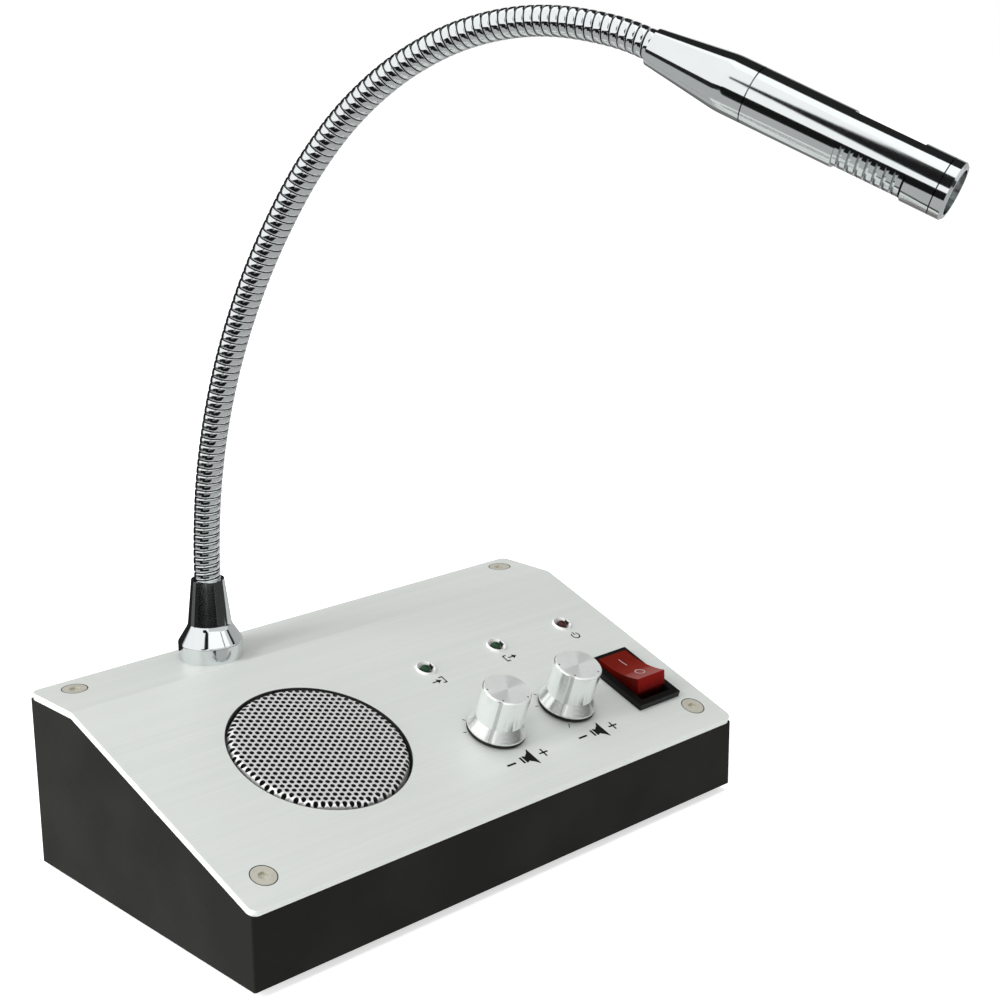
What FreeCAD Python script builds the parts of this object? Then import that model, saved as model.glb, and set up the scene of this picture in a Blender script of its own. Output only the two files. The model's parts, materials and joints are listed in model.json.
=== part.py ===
import FreeCAD, Part

import math
import os
import re

import Sketcher

# Driving sizes in millimetres, angles in degrees. The origin is the centre of the case's underside,
# +X to the user's right, +Y to the back and +Z up.
SIZES = {
    # Moulded console case: a flat strip at the back of the top, then a slope down to the front.
    "case_width": 150,
    "case_depth": 84,
    "case_back_height": 40.8,
    "case_front_height": 16.8,
    "strip_depth": 17.8,
    "case_wall": 2,
    "case_corner": 0.5,
    "foot_radius": 5,
    "foot_height": 2.5,
    "foot_recess": 0.5,
    "foot_inset": 12,
    "foot_gap": 0.2,
    # Bent aluminium panel and its four countersunk screws.
    "panel_thickness": 1.6,
    "panel_corner": 2,
    "screw_left": 8.3,
    "screw_right": 6.8,
    "screw_back": 5.6,
    "screw_down": 62.7,
    "screw_head_radius": 2.85,
    "screw_head_depth": 1.4,
    "screw_radius": 1.5,
    "screw_length": 9,
    "screw_socket": 1.15,
    "screw_gap": 0.08,
    "post_radius": 5.3,
    # Loudspeaker and its perforated cup, on the slope.
    "speaker_share": 0.2033,
    "speaker_down": 34,
    "speaker_opening": 21.6,
    "grille_gap": 0.45,
    "grille_sheet": 0.6,
    "grille_rise": 0.4,
    "grille_edge": 1.6,
    "grille_flange": 2.8,
    "gasket_thickness": 1,
    "basket_sheet": 0.8,
    "basket_depth": 11,
    "basket_rim": 6,
    "basket_throat": 12,
    "cone_sheet": 0.5,
    "coil_radius": 5.2,
    "magnet_radius": 13,
    "magnet_height": 5,
    "yoke_radius": 11.5,
    "yoke_plate": 2,
    # Row of controls on the slope: three columns, a row of lamps and a row of knobs and switch.
    "column_inset": 62.6,
    "column_pitch": 24,
    "lamp_down": 21,
    "control_down": 47.7,
    # Potentiometers.
    "pot_radius": 8,
    "pot_height": 7,
    "bushing_radius": 3.5,
    "bushing_height": 3.9,
    "bushing_gap": 0.1,
    "shaft_radius": 3,
    "shaft_gap": 0.05,
    "knob_room": 0.3,
    "shaft_height": 10.4,
    "pot_nut_flats": 10,
    "pot_nut_height": 2,
    # Knobs: a turned aluminium shell over a black insert.
    "knob_lift": 0.3,
    "knob_ring": 0.9,
    "knob_ring_radius": 7.25,
    "knob_skirt_radius": 7.3,
    "knob_skirt_land": 0.4,
    "knob_flare": 2.6,
    "knob_waist_radius": 5.85,
    "knob_top_radius": 6.05,
    "knob_height": 12.6,
    "knob_chamfer": 0.4,
    "knob_sheet": 0.5,
    "knob_cavity_radius": 6,
    "knob_cavity_height": 2.3,
    "insert_gap": 0.03,
    # Lamps in turned bezels.
    "lamp_radius": 1.45,
    "lamp_length": 5.6,
    "lamp_rise": 0.85,
    "lamp_round": 1.4,
    "bezel_radius": 2.6,
    "bezel_rise": 0.5,
    "bezel_dish": 0.9,
    "bezel_tube": 2,
    "bezel_bore": 1.55,
    "bezel_length": 6,
    "bezel_gap": 0.08,
    "bezel_nut_flats": 5.5,
    "bezel_nut_height": 1.5,
    "lead_radius": 0.25,
    "lead_spread": 1.27,
    "lead_length": 5,
    # Rocker switch.
    "switch_width": 14.6,
    "switch_length": 20.6,
    "switch_rise": 1.6,
    "switch_body_width": 12.8,
    "switch_body_length": 18.8,
    "switch_body_depth": 12,
    "switch_gap": 0.15,
    "rocker_width": 10,
    "rocker_opening": 17,
    "rocker_pivot": 3,
    "rocker_top": 7.3,
    "rocker_reach": 6.85,
    "rocker_shoulder": 3.86,
    "rocker_shoulder_reach": 7.45,
    "rocker_foot": 1.3,
    "rocker_foot_reach": 5.5,
    "rocker_dish": 0.95,
    "rocker_tilt": 12,
    "rocker_gap": 0.3,
    "rocker_bowl": 6,
    "pivot_radius": 1,
    "pivot_gap": 0.05,
    "pivot_length": 0.7,
    "terminal_width": 4.8,
    "terminal_thickness": 0.8,
    "terminal_length": 6.5,
    "terminal_spread": 5,
    # Gooseneck: socket on the strip, a chain of short lengths of hose, and the microphone.
    "neck_share": 0.2067,
    "neck_back": 8.9,
    "socket_radius": 7.8,
    "socket_ring": 4,
    "socket_shoulder_radius": 5.3,
    "socket_shoulder": 8,
    "socket_top_radius": 3.95,
    "socket_height": 19.4,
    "socket_blend": 2.5,
    "socket_edge": 0.8,
    "socket_seat": 7,
    "stem_radius": 4,
    "stem_length": 10,
    "stem_gap": 0.1,
    "cable_radius": 1.6,
    "neck_washer_radius": 6.5,
    "neck_washer_height": 1,
    "neck_nut_flats": 13,
    "neck_nut_height": 4,
    "neck_radius": 3.15,
    "neck_bore": 1.6,
    "neck_fit": 0.06,
    "neck_length": 194,
    "neck_aim": 22,
    "neck_start": 90,
    "neck_rise_turn": 5.55,
    "neck_shoulder_turn": 11.4,
    "neck_crown_turn": 14.95,
    "neck_tail_turn": 16.5,
    "ball_gap": 0.15,
    "ball_shoulder": 1.2,
    "hose_lead": 1,
    "ferrule_start_radius": 3.8,
    "ferrule_length": 22.5,
    "ferrule_round": 5.5,
    "ferrule_seat": 9,
    "mic_radius": 5.9,
    "mic_length": 43.5,
    "mic_wall": 0.4,
    "mic_seam": 0.15,
    "mic_spigot": 4,
    "mic_fit": 0.05,
    "vent_start": 20,
    "vent_length": 14.8,
    "vent_width": 9,
    "vent_turn": -37,
    "vent_pitch": 1.9,
    "vent_rib": 1,
    "vent_groove": 0.9,
    "vent_sleeve_wall": 0.8,
    "cap_length": 2.8,
    "cap_bore": 4.6,
    "cap_edge": 0.5,
    "mesh_thickness": 0.5,
    "capsule_radius": 4.5,
    "capsule_length": 6,
    # Sockets on the back wall.
    "jack_height": 20,
    "dc_jack_inset": 27,
    "dc_jack_radius": 5.9,
    "dc_jack_flange": 7,
    "dc_jack_flange_height": 1.6,
    "dc_jack_length": 12,
    "dc_jack_bore": 2.85,
    "dc_jack_bore_depth": 9,
    "dc_jack_pin": 1,
    "dc_nut_flats": 15,
    "dc_nut_height": 2.5,
    "audio_inset": 71,
    "audio_pitch": 20,
    "audio_radius": 3,
    "audio_rise": 2.4,
    "audio_bore": 1.8,
    "audio_bore_depth": 13,
    "audio_box": 4.5,
    "audio_box_length": 11,
    "audio_nut_flats": 8,
    "audio_nut_height": 1.8,
    "jack_gap": 0.1,
    # Amplifier board on four pillars of the case floor.
    "board_length": 78,
    "board_width": 38,
    "board_thickness": 1.6,
    "board_past_speaker": 12.5,
    "board_back": 8,
    "board_lift": 5,
    "board_hole_inset": 4,
    "pillar_radius": 3,
    "board_screw_radius": 1.2,
    "board_screw_head": 2.5,
    "board_screw_head_height": 1.4,
    "board_screw_length": 5.5,
    "heatsink_length": 24,
    "heatsink_base": 2,
    "heatsink_fin": 1.2,
    "heatsink_pitch": 3.6,
    "heatsink_depth": 9,
    "heatsink_height": 15,
    "chip_length": 18,
    "chip_thickness": 4,
    "chip_height": 11,
    "capacitor_radius": 4,
    "capacitor_height": 11,
    "capacitor_pitch": 10,
    "capacitor_first": 12,
    "capacitor_front": 10,
    "header_length": 7.5,
    "header_width": 4,
    "header_height": 6,
    "header_pitch": 8.5,
    "header_first": 41,
    "header_front": 6,
}

NECK_HINGES = 12
VENT_RIBS = 7
HEATSINK_FINS = 7
CAPACITORS = 3
HEADERS = 4

doc = FreeCAD.newDocument("counter_intercom")
sheet = doc.addObject("Spreadsheet::Sheet", "sizes")
for row, (alias, number) in enumerate(SIZES.items(), start=1):
    sheet.set("A%d" % row, alias)
    sheet.set("B%d" % row, str(number))
    sheet.setAlias("B%d" % row, alias)
doc.recompute()

nodes = []

# Lengths and angles that follow from the driving sizes, as expressions on the sheet.
TILT = "atan((case_back_height - case_front_height) / (case_depth - strip_depth))"
BEND_Y = "(case_depth / 2 - strip_depth - panel_thickness * tan(%s / 2))" % TILT
DECK_Z = "(case_back_height + panel_thickness)"
UNDER = "(0 - panel_thickness)"
COLUMN_FIRST = "(case_width / 2 - column_inset)"
SPEAKER_X = "(0 - case_width * speaker_share)"
NECK_X = "(0 - case_width * neck_share)"
DC_JACK_X = "(case_width / 2 - dc_jack_inset)"
AUDIO_X = "(case_width / 2 - audio_inset)"
BOARD_LEFT = "(board_past_speaker - case_width * speaker_share)"


def full(text):
    """The expression with each alias written as a cell of the sheet."""
    return re.sub(r"[a-z_]+", lambda word: "sizes." + word[0] if word[0] in SIZES else word[0], text)


def value(text):
    """The number that an expression on the sheet gives."""
    result = sheet.evalExpression(full(text))
    return float(getattr(result, "Value", result))


def vector(x, y, z):
    return FreeCAD.Vector(value(x), value(y), value(z))


# ---------------------------------------------------------------- placements


def at(x="0", y="0", z="0", axis=None, angle=0):
    turn = FreeCAD.Rotation(axis, angle) if axis else FreeCAD.Rotation()
    return FreeCAD.Placement(vector(x, y, z), turn)


def on_strip(across, from_back, above="0"):
    """On the flat strip's outer face, local +Z up."""
    return at(across, "case_depth / 2 - (%s)" % from_back, DECK_Z + " + (%s)" % above)


def on_slope(across, down, above="0"):
    """On the slope's outer face: down is measured from the bend, and local +Z is the face's normal."""
    origin = at("0", BEND_Y, DECK_Z, FreeCAD.Vector(1, 0, 0), value(TILT))
    return origin.multiply(at(across, "0 - (%s)" % down, above))


def on_back(across, height, out="0"):
    """On the case's back wall, local +Z pointing out of the wall."""
    return at(across, "case_depth / 2 + (%s)" % out, height, FreeCAD.Vector(1, 0, 0), -90)


def moved(placement, x="0", y="0", z="0"):
    return placement.multiply(at(x, y, z))


# ---------------------------------------------------------------- document objects


def add(kind, name, placement=None, **expressions):
    item = doc.addObject(kind, name)
    for prop, text in expressions.items():
        item.setExpression(prop, full(text))
    if placement:
        item.Placement = placement
    return item


def cylinder(name, radius, height, placement):
    return add("Part::Cylinder", name, placement, Radius=radius, Height=height)


def cone(name, low_radius, high_radius, height, placement):
    return add("Part::Cone", name, placement, Radius1=low_radius, Radius2=high_radius, Height=height)


def block(name, length, width, height, placement):
    """A box centred on its placement in X and Y, standing on it in Z."""
    corner = moved(placement, "0 - (%s) / 2" % length, "0 - (%s) / 2" % width)
    return add("Part::Box", name, corner, Length=length, Width=width, Height=height)


def hexagon(name, flats, height, placement):
    prism = add("Part::Prism", name, placement, Circumradius="(%s) / sqrt(3)" % flats, Height=height)
    prism.Polygon = 6
    return prism


def fuse(name, shapes):
    item = doc.addObject("Part::MultiFuse", name)
    item.Shapes = shapes
    return item


def common(name, shapes):
    item = doc.addObject("Part::MultiCommon", name)
    item.Shapes = shapes
    return item


def cut(name, base, tool):
    item = doc.addObject("Part::Cut", name)
    item.Base = base
    item.Tool = tool
    return item


def group(name, shapes):
    item = doc.addObject("Part::Compound", name)
    item.Links = shapes
    return item


def node(item, label):
    """Registers a finished piece: its label is the name of its file."""
    item.Label = label
    nodes.append(item)
    return item


def new_body(name):
    return doc.addObject("PartDesign::Body", name)


def sketch_on(body, role, points, name="outline"):
    """A closed outline on one of the body's own planes, each corner held by two bound distances."""
    plane = [item for item in body.Origin.OriginFeatures if item.Role == role][0]
    sketch = body.newObject("Sketcher::SketchObject", body.Name + "_" + name)
    sketch.AttachmentSupport = (plane, [""])
    sketch.MapMode = "FlatFace"
    corners = [vector(x, y, "0") for x, y in points]
    count = len(corners)
    for index in range(count):
        line = Part.LineSegment(corners[index], corners[(index + 1) % count])
        sketch.addGeometry(line, False)
    for index in range(count):
        sketch.addConstraint(Sketcher.Constraint("Coincident", index, 2, (index + 1) % count, 1))
    for index, (x, y) in enumerate(points):
        for kind, text in (("DistanceX", x), ("DistanceY", y)):
            limit = Sketcher.Constraint(kind, -1, 1, index, 1, value(text))
            number = sketch.addConstraint(limit)
            sketch.setExpression("Constraints[%d]" % number, full(text))
    return sketch


def pad(body, sketch, length, midplane=False):
    feature = body.newObject("PartDesign::Pad", body.Name + "_pad")
    feature.Profile = sketch
    feature.setExpression("Length", full(length))
    feature.Midplane = midplane
    return feature


def pocket(body, sketch, length, midplane=False):
    feature = body.newObject("PartDesign::Pocket", body.Name + "_pocket")
    feature.Profile = sketch
    feature.setExpression("Length", full(length))
    feature.Midplane = midplane
    return feature


def turned(name, points, placement=None):
    """A body turned about its local Z from an outline of (radius, height) points."""
    body = new_body(name)
    sketch = sketch_on(body, "XZ_Plane", points)
    feature = body.newObject("PartDesign::Revolution", name + "_turn")
    feature.Profile = sketch
    feature.ReferenceAxis = (sketch, ["V_Axis"])
    feature.Angle = 360
    if placement:
        body.Placement = placement
    return body


def rounded(body, radius, wanted, kind="Fillet"):
    """Fillets or chamfers the edges of the body's last feature that the test wants."""
    doc.recompute()
    base = body.Tip
    edges = ["Edge%d" % (n + 1) for n, edge in enumerate(base.Shape.Edges) if wanted(edge)]
    feature = body.newObject("PartDesign::" + kind, body.Name + "_" + kind.lower())
    feature.Base = (base, edges)
    feature.setExpression("Radius" if kind == "Fillet" else "Size", full(radius))
    return feature


def near(a, b):
    return abs(a - b) < 1e-4


def circle_at(radius, height):
    """A test for the circular edges of one radius at one height."""

    def wanted(edge):
        if not isinstance(edge.Curve, Part.Circle):
            return False
        return near(edge.Curve.Radius, value(radius)) and near(edge.Curve.Center.z, value(height))

    return wanted


def along(direction):
    """A test for straight edges along a direction."""

    def wanted(edge):
        if not isinstance(edge.Curve, Part.Line):
            return False
        return near(abs(edge.Curve.Direction.dot(FreeCAD.Vector(*direction))), 1)

    return wanted


def nut(name, flats, bore, height, placement):
    blank = hexagon(name + "_blank", flats, height, placement)
    hole = cylinder(name + "_hole", bore, height, placement)
    return cut(name, blank, hole)


def four_corners():
    """The signs of X and Y at four corners."""
    return [(side, end) for side in ("-1", "1") for end in ("-1", "1")]


# ---------------------------------------------------------------- case, panel and screws

FOOT_X = "(case_width / 2 - foot_inset)"
FOOT_Y = "(case_depth / 2 - foot_inset)"
BOARD_TOP = "(case_wall + board_lift + board_thickness)"
SCREW_BORE = "(screw_radius + screw_gap)"
BOARD_BORE = "(board_screw_radius + screw_gap)"


def screw_places(above):
    """The four panel screws: two on the strip, two on the slope."""
    places = []
    for across in ("screw_left - case_width / 2", "case_width / 2 - screw_right"):
        places.append(on_strip(across, "screw_back", above))
        places.append(on_slope(across, "screw_down", above))
    return places


def board_holes(height):
    """The board's four fixing points."""
    half_x = "(board_length / 2 - board_hole_inset)"
    half_y = "(board_width / 2 - board_hole_inset)"
    centre_x = "(" + BOARD_LEFT + " + board_length / 2)"
    centre_y = "(case_depth / 2 - board_back - board_width / 2)"
    places = []
    for side, end in four_corners():
        x = "%s + %s * %s" % (centre_x, side, half_x)
        y = "%s + %s * %s" % (centre_y, end, half_y)
        places.append(at(x, y, height))
    return places


def case_outline():
    return [
        ("0 - case_depth / 2", "0"),
        ("case_depth / 2", "0"),
        ("case_depth / 2", "case_back_height"),
        ("case_depth / 2 - strip_depth", "case_back_height"),
        ("0 - case_depth / 2", "case_front_height"),
    ]


def case_blank(name):
    body = new_body(name)
    pad(body, sketch_on(body, "YZ_Plane", case_outline()), "case_width", midplane=True)
    rounded(body, "case_corner", along((0, 0, 1)))
    return body


def make_case():
    hollow = case_blank("case_hollow")
    inside = [
        ("case_wall - case_depth / 2", "case_wall"),
        ("case_depth / 2 - case_wall", "case_wall"),
        ("case_depth / 2 - case_wall", "case_back_height * 2"),
        ("case_wall - case_depth / 2", "case_back_height * 2"),
    ]
    inside_sketch = sketch_on(hollow, "YZ_Plane", inside, "inside")
    pocket(hollow, inside_sketch, "case_width - 2 * case_wall", midplane=True)
    posts = []
    for index, place in enumerate(screw_places(UNDER + " - case_back_height")):
        posts.append(cylinder("post_%d" % index, "post_radius", "case_back_height", place))
    pillars = []
    for index, place in enumerate(board_holes("case_wall / 2")):
        pillars.append(cylinder("pillar_%d" % index, "pillar_radius", "case_wall / 2 + board_lift", place))
    inner = common("posts_inside", [case_blank("post_limit"), fuse("posts", posts)])
    joined = fuse("case_joined", [hollow, inner] + pillars)
    tools = []
    for index, place in enumerate(screw_places(UNDER + " - screw_length")):
        tools.append(cylinder("post_hole_%d" % index, SCREW_BORE, "screw_length * 2", place))
    for index, place in enumerate(board_holes(BOARD_TOP + " - board_screw_length")):
        tools.append(cylinder("pillar_hole_%d" % index, BOARD_BORE, "board_screw_length", place))
    for index, (side, end) in enumerate(four_corners()):
        place = at(side + " * " + FOOT_X, end + " * " + FOOT_Y, "0 - foot_recess")
        tools.append(cylinder("foot_seat_%d" % index, "foot_radius + foot_gap", "foot_recess * 2", place))
    through = "0 - case_wall * 1.5"
    dc_place = on_back(DC_JACK_X, "jack_height", through)
    tools.append(cylinder("dc_jack_hole", "dc_jack_radius + jack_gap", "case_wall * 2", dc_place))
    for index in range(2):
        place = on_back(AUDIO_X + " + %d * audio_pitch" % index, "jack_height", through)
        tools.append(cylinder("audio_hole_%d" % index, "audio_radius + jack_gap", "case_wall * 2", place))
    node(cut("case_shell", joined, fuse("case_tools", tools)), "case_shell")


def make_feet():
    feet = []
    for index, (side, end) in enumerate(four_corners()):
        place = at(side + " * " + FOOT_X, end + " * " + FOOT_Y, "foot_recess - foot_height")
        feet.append(cone("foot_%d" % index, "foot_radius - foot_recess", "foot_radius", "foot_height", place))
    node(group("rubber_feet", feet), "rubber_feet")


def panel_outline():
    """Section of the bent sheet: underside from back to front, then the outer face back again."""
    slope_y = "panel_thickness * sin(%s)" % TILT
    slope_z = "panel_thickness * cos(%s)" % TILT
    return [
        ("case_depth / 2", "case_back_height"),
        ("case_depth / 2 - strip_depth", "case_back_height"),
        ("0 - case_depth / 2", "case_front_height"),
        ("0 - case_depth / 2 - " + slope_y, "case_front_height + " + slope_z),
        (BEND_Y, DECK_Z),
        ("case_depth / 2", DECK_Z),
    ]


def make_panel():
    sheet_body = new_body("panel_sheet")
    pad(sheet_body, sketch_on(sheet_body, "YZ_Plane", panel_outline()), "case_width", midplane=True)
    doc.recompute()
    thickness = value("panel_thickness")
    rounded(sheet_body, "panel_corner", lambda edge: near(edge.Length, thickness))
    deep = "panel_thickness * 2"
    low = UNDER + " * 1.5"
    tools = [
        cylinder("speaker_hole", "speaker_opening", deep, on_slope(SPEAKER_X, "speaker_down", low)),
        cylinder("neck_hole", "stem_radius + stem_gap", deep, on_strip(NECK_X, "neck_back", low)),
    ]
    for index in range(3):
        across = COLUMN_FIRST + " + %d * column_pitch" % index
        place = on_slope(across, "lamp_down", low)
        tools.append(cylinder("lamp_hole_%d" % index, "bezel_tube + bezel_gap", deep, place))
    for index in range(2):
        place = on_slope(COLUMN_FIRST + " + %d * column_pitch" % index, "control_down", low)
        tools.append(cylinder("bushing_hole_%d" % index, "bushing_radius + bushing_gap", deep, place))
    place = on_slope(COLUMN_FIRST + " + 2 * column_pitch", "control_down", low)
    width = "switch_body_width + 2 * switch_gap"
    length = "switch_body_length + 2 * switch_gap"
    tools.append(block("switch_hole", width, length, deep, place))
    for index, place in enumerate(screw_places(low)):
        tools.append(cylinder("screw_hole_%d" % index, SCREW_BORE, deep, place))
    large = "screw_head_radius + screw_gap"
    for index, place in enumerate(screw_places("0 - screw_head_depth")):
        tools.append(cone("countersink_%d" % index, SCREW_BORE, large, "screw_head_depth", place))
    node(cut("front_panel", sheet_body, fuse("panel_tools", tools)), "front_panel")


def panel_screw(name, placement):
    """A countersunk machine screw with a hexagon socket, its head level with local Z = 0."""
    outline = [
        ("0", "0"),
        ("screw_head_radius", "0"),
        ("screw_radius", "0 - screw_head_depth"),
        ("screw_radius", "0 - screw_length"),
        ("0", "0 - screw_length"),
    ]
    solid = turned(name + "_blank", outline, placement)
    socket_floor = moved(placement, z="0 - screw_head_depth / 2")
    socket = hexagon(name + "_socket", "screw_socket * 2", "screw_head_depth", socket_floor)
    return cut(name, solid, socket)


def make_panel_screws():
    screws = [panel_screw("panel_screw_%d" % index, place) for index, place in enumerate(screw_places("0"))]
    node(group("panel_screws", screws), "panel_screws")


# ---------------------------------------------------------------- loudspeaker

GRILLE_RADIUS = "(speaker_opening - grille_gap)"
FLANGE_RADIUS = "(speaker_opening + grille_flange)"
GASKET_TOP = "(0 - panel_thickness - grille_sheet)"
GASKET_LOW = "(0 - panel_thickness - grille_sheet - gasket_thickness)"
BASKET_TOP = "(0 - panel_thickness - grille_sheet - gasket_thickness - cone_sheet)"
BASKET_LOW = "(0 - panel_thickness - grille_sheet - gasket_thickness - cone_sheet - basket_depth)"
SURROUND_BORE = "(speaker_opening + grille_flange - basket_rim)"


def speaker_place():
    return on_slope(SPEAKER_X, "speaker_down")


def make_grille():
    inner = "speaker_opening - grille_gap - grille_sheet"
    outline = [
        ("0", "grille_rise"),
        (GRILLE_RADIUS, "grille_rise"),
        (GRILLE_RADIUS, UNDER),
        (FLANGE_RADIUS, UNDER),
        (FLANGE_RADIUS, GASKET_TOP),
        (inner, GASKET_TOP),
        (inner, "grille_rise - grille_sheet"),
        ("0", "grille_rise - grille_sheet"),
    ]
    cup = turned("grille_cup", outline)
    rounded(cup, "grille_edge", circle_at(GRILLE_RADIUS, "grille_rise"))
    rounded(cup, "grille_edge - grille_sheet", circle_at(inner, "grille_rise - grille_sheet"))
    cup.Placement = speaker_place()
    node(cup, "speaker_grille")


def ring(name, label, outer, bore, low, high, placement):
    outline = [(bore, low), (outer, low), (outer, high), (bore, high)]
    return node(turned(name, outline, placement), label)


def make_speaker():
    place = speaker_place()
    ring("gasket_ring", "speaker_gasket", FLANGE_RADIUS, SURROUND_BORE, GASKET_LOW, GASKET_TOP, place)
    sheet_low = BASKET_TOP + " - basket_sheet"
    throat = "basket_throat"
    basket = [
        (FLANGE_RADIUS, BASKET_TOP),
        (FLANGE_RADIUS, sheet_low),
        (SURROUND_BORE + " + basket_sheet", sheet_low),
        (throat, BASKET_LOW),
        ("coil_radius + 1", BASKET_LOW),
        ("coil_radius + 1", BASKET_LOW + " + basket_sheet"),
        (throat + " - basket_sheet", BASKET_LOW + " + basket_sheet"),
        (SURROUND_BORE + " - basket_sheet / 2", BASKET_TOP),
    ]
    frame = turned("basket", basket)
    frame.Placement = place
    windows = []
    for index in range(4):
        turn = FreeCAD.Placement(FreeCAD.Vector(), FreeCAD.Rotation(FreeCAD.Vector(0, 0, 1), 45 + 90 * index))
        centre = place.multiply(turn)
        depth = "basket_depth - 3.5 * basket_sheet"
        out = "(%s + basket_throat) / 2" % SURROUND_BORE
        spot = moved(centre, out, "0", BASKET_LOW + " + 2 * basket_sheet")
        windows.append(block("basket_window_%d" % index, "basket_throat", "basket_throat", depth, spot))
    node(cut("basket_open", frame, fuse("basket_windows", windows)), "speaker_basket")
    cone_low = BASKET_LOW + " + 3 * basket_sheet"
    edge = SURROUND_BORE + " - basket_sheet"
    paper = [
        ("0", cone_low + " + 2 * cone_sheet"),
        ("coil_radius", cone_low + " + cone_sheet"),
        (edge, GASKET_LOW),
        (FLANGE_RADIUS, GASKET_LOW),
        (FLANGE_RADIUS, BASKET_TOP),
        (edge, BASKET_TOP),
        ("coil_radius", cone_low),
        ("coil_radius", BASKET_LOW),
        ("coil_radius - cone_sheet", BASKET_LOW),
        ("coil_radius - cone_sheet", cone_low),
        ("0", cone_low + " + cone_sheet"),
    ]
    node(turned("paper_cone", paper, place), "speaker_cone")
    magnet_top = BASKET_LOW + " - yoke_plate"
    magnet_low = BASKET_LOW + " - yoke_plate - magnet_height"
    ring("magnet_ring", "speaker_magnet", "magnet_radius", "coil_radius + 2", magnet_low, magnet_top, place)
    pole = "coil_radius - 2 * cone_sheet"
    yoke = [
        ("0", BASKET_LOW),
        (pole, BASKET_LOW),
        (pole, magnet_low),
        ("yoke_radius", magnet_low),
        ("yoke_radius", magnet_low + " - yoke_plate"),
        ("0", magnet_low + " - yoke_plate"),
    ]
    plate = [
        ("coil_radius + 1", BASKET_LOW),
        ("yoke_radius", BASKET_LOW),
        ("yoke_radius", magnet_top),
        ("coil_radius + 1", magnet_top),
    ]
    poles = [turned("yoke_pole", yoke, place), turned("yoke_top_plate", plate, place)]
    node(group("speaker_yoke", poles), "speaker_yoke")


# ---------------------------------------------------------------- knobs and their potentiometers


def make_pots():
    pots, nuts = [], []
    for index in range(2):
        place = on_slope(COLUMN_FIRST + " + %d * column_pitch" % index, "control_down")
        bore = "shaft_radius + shaft_gap"
        low = UNDER + " - pot_height"
        outline = [
            (bore, "bushing_height"),
            ("bushing_radius", "bushing_height"),
            ("bushing_radius", UNDER),
            ("pot_radius", UNDER),
            ("pot_radius", low),
            ("0", low),
            ("0", low + " / 2"),
            (bore, low + " / 2"),
        ]
        pots.append(turned("pot_%d" % index, outline, place))
        bore = "bushing_radius + bushing_gap / 2"
        nuts.append(nut("pot_nut_%d" % index, "pot_nut_flats", bore, "pot_nut_height", place))
    node(group("volume_pots", pots), "volume_pots")
    node(group("volume_pot_nuts", nuts), "volume_pot_nuts")


SKIRT_LOW = "(knob_lift + knob_ring)"
FLARE_TOP = "(knob_lift + knob_ring + knob_skirt_land + knob_flare)"
KNOB_INSIDE = "(knob_height - knob_sheet)"


def shell_inside(gap):
    """The shell's inner outline from its open end up to the middle of its top."""
    return [
        ("knob_skirt_radius - knob_sheet - %s" % gap, SKIRT_LOW),
        ("knob_waist_radius - knob_sheet - %s" % gap, FLARE_TOP),
        ("knob_top_radius - knob_sheet - %s" % gap, KNOB_INSIDE + " - %s" % gap),
        ("0", KNOB_INSIDE + " - %s" % gap),
    ]


def make_knob(index, name):
    place = on_slope(COLUMN_FIRST + " + %d * column_pitch" % index, "control_down")
    outline = [
        ("0", "knob_height"),
        ("knob_top_radius", "knob_height"),
        ("knob_waist_radius", FLARE_TOP),
        ("knob_skirt_radius", SKIRT_LOW + " + knob_skirt_land"),
        ("knob_skirt_radius", SKIRT_LOW),
    ]
    shell = turned(name + "_shell", outline + shell_inside("0"))
    rounded(shell, "knob_chamfer", circle_at("knob_top_radius", "knob_height"), "Chamfer")
    shell.Placement = place
    node(shell, name + "_knob")
    inside = shell_inside("insert_gap")
    bore = "shaft_radius + insert_gap"
    counterbore = "bushing_radius + knob_room"
    insert = [
        ("knob_cavity_radius", "knob_lift"),
        ("knob_ring_radius", "knob_lift"),
        ("knob_ring_radius", SKIRT_LOW),
        *inside,
        ("0", "shaft_height + insert_gap"),
        (bore, "shaft_height + insert_gap"),
        (bore, "bushing_height + knob_lift"),
        (counterbore, "bushing_height + knob_lift"),
        (counterbore, "knob_cavity_height"),
        ("knob_cavity_radius", "knob_cavity_height"),
    ]
    node(turned(name + "_core", insert, place), name + "_insert")
    low = "((%s - pot_height) / 2)" % UNDER
    foot = moved(place, z=low + " + insert_gap")
    shaft = cylinder(name + "_spindle", "shaft_radius", "shaft_height - insert_gap - " + low, foot)
    node(shaft, name + "_shaft")


# ---------------------------------------------------------------- lamps


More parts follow.
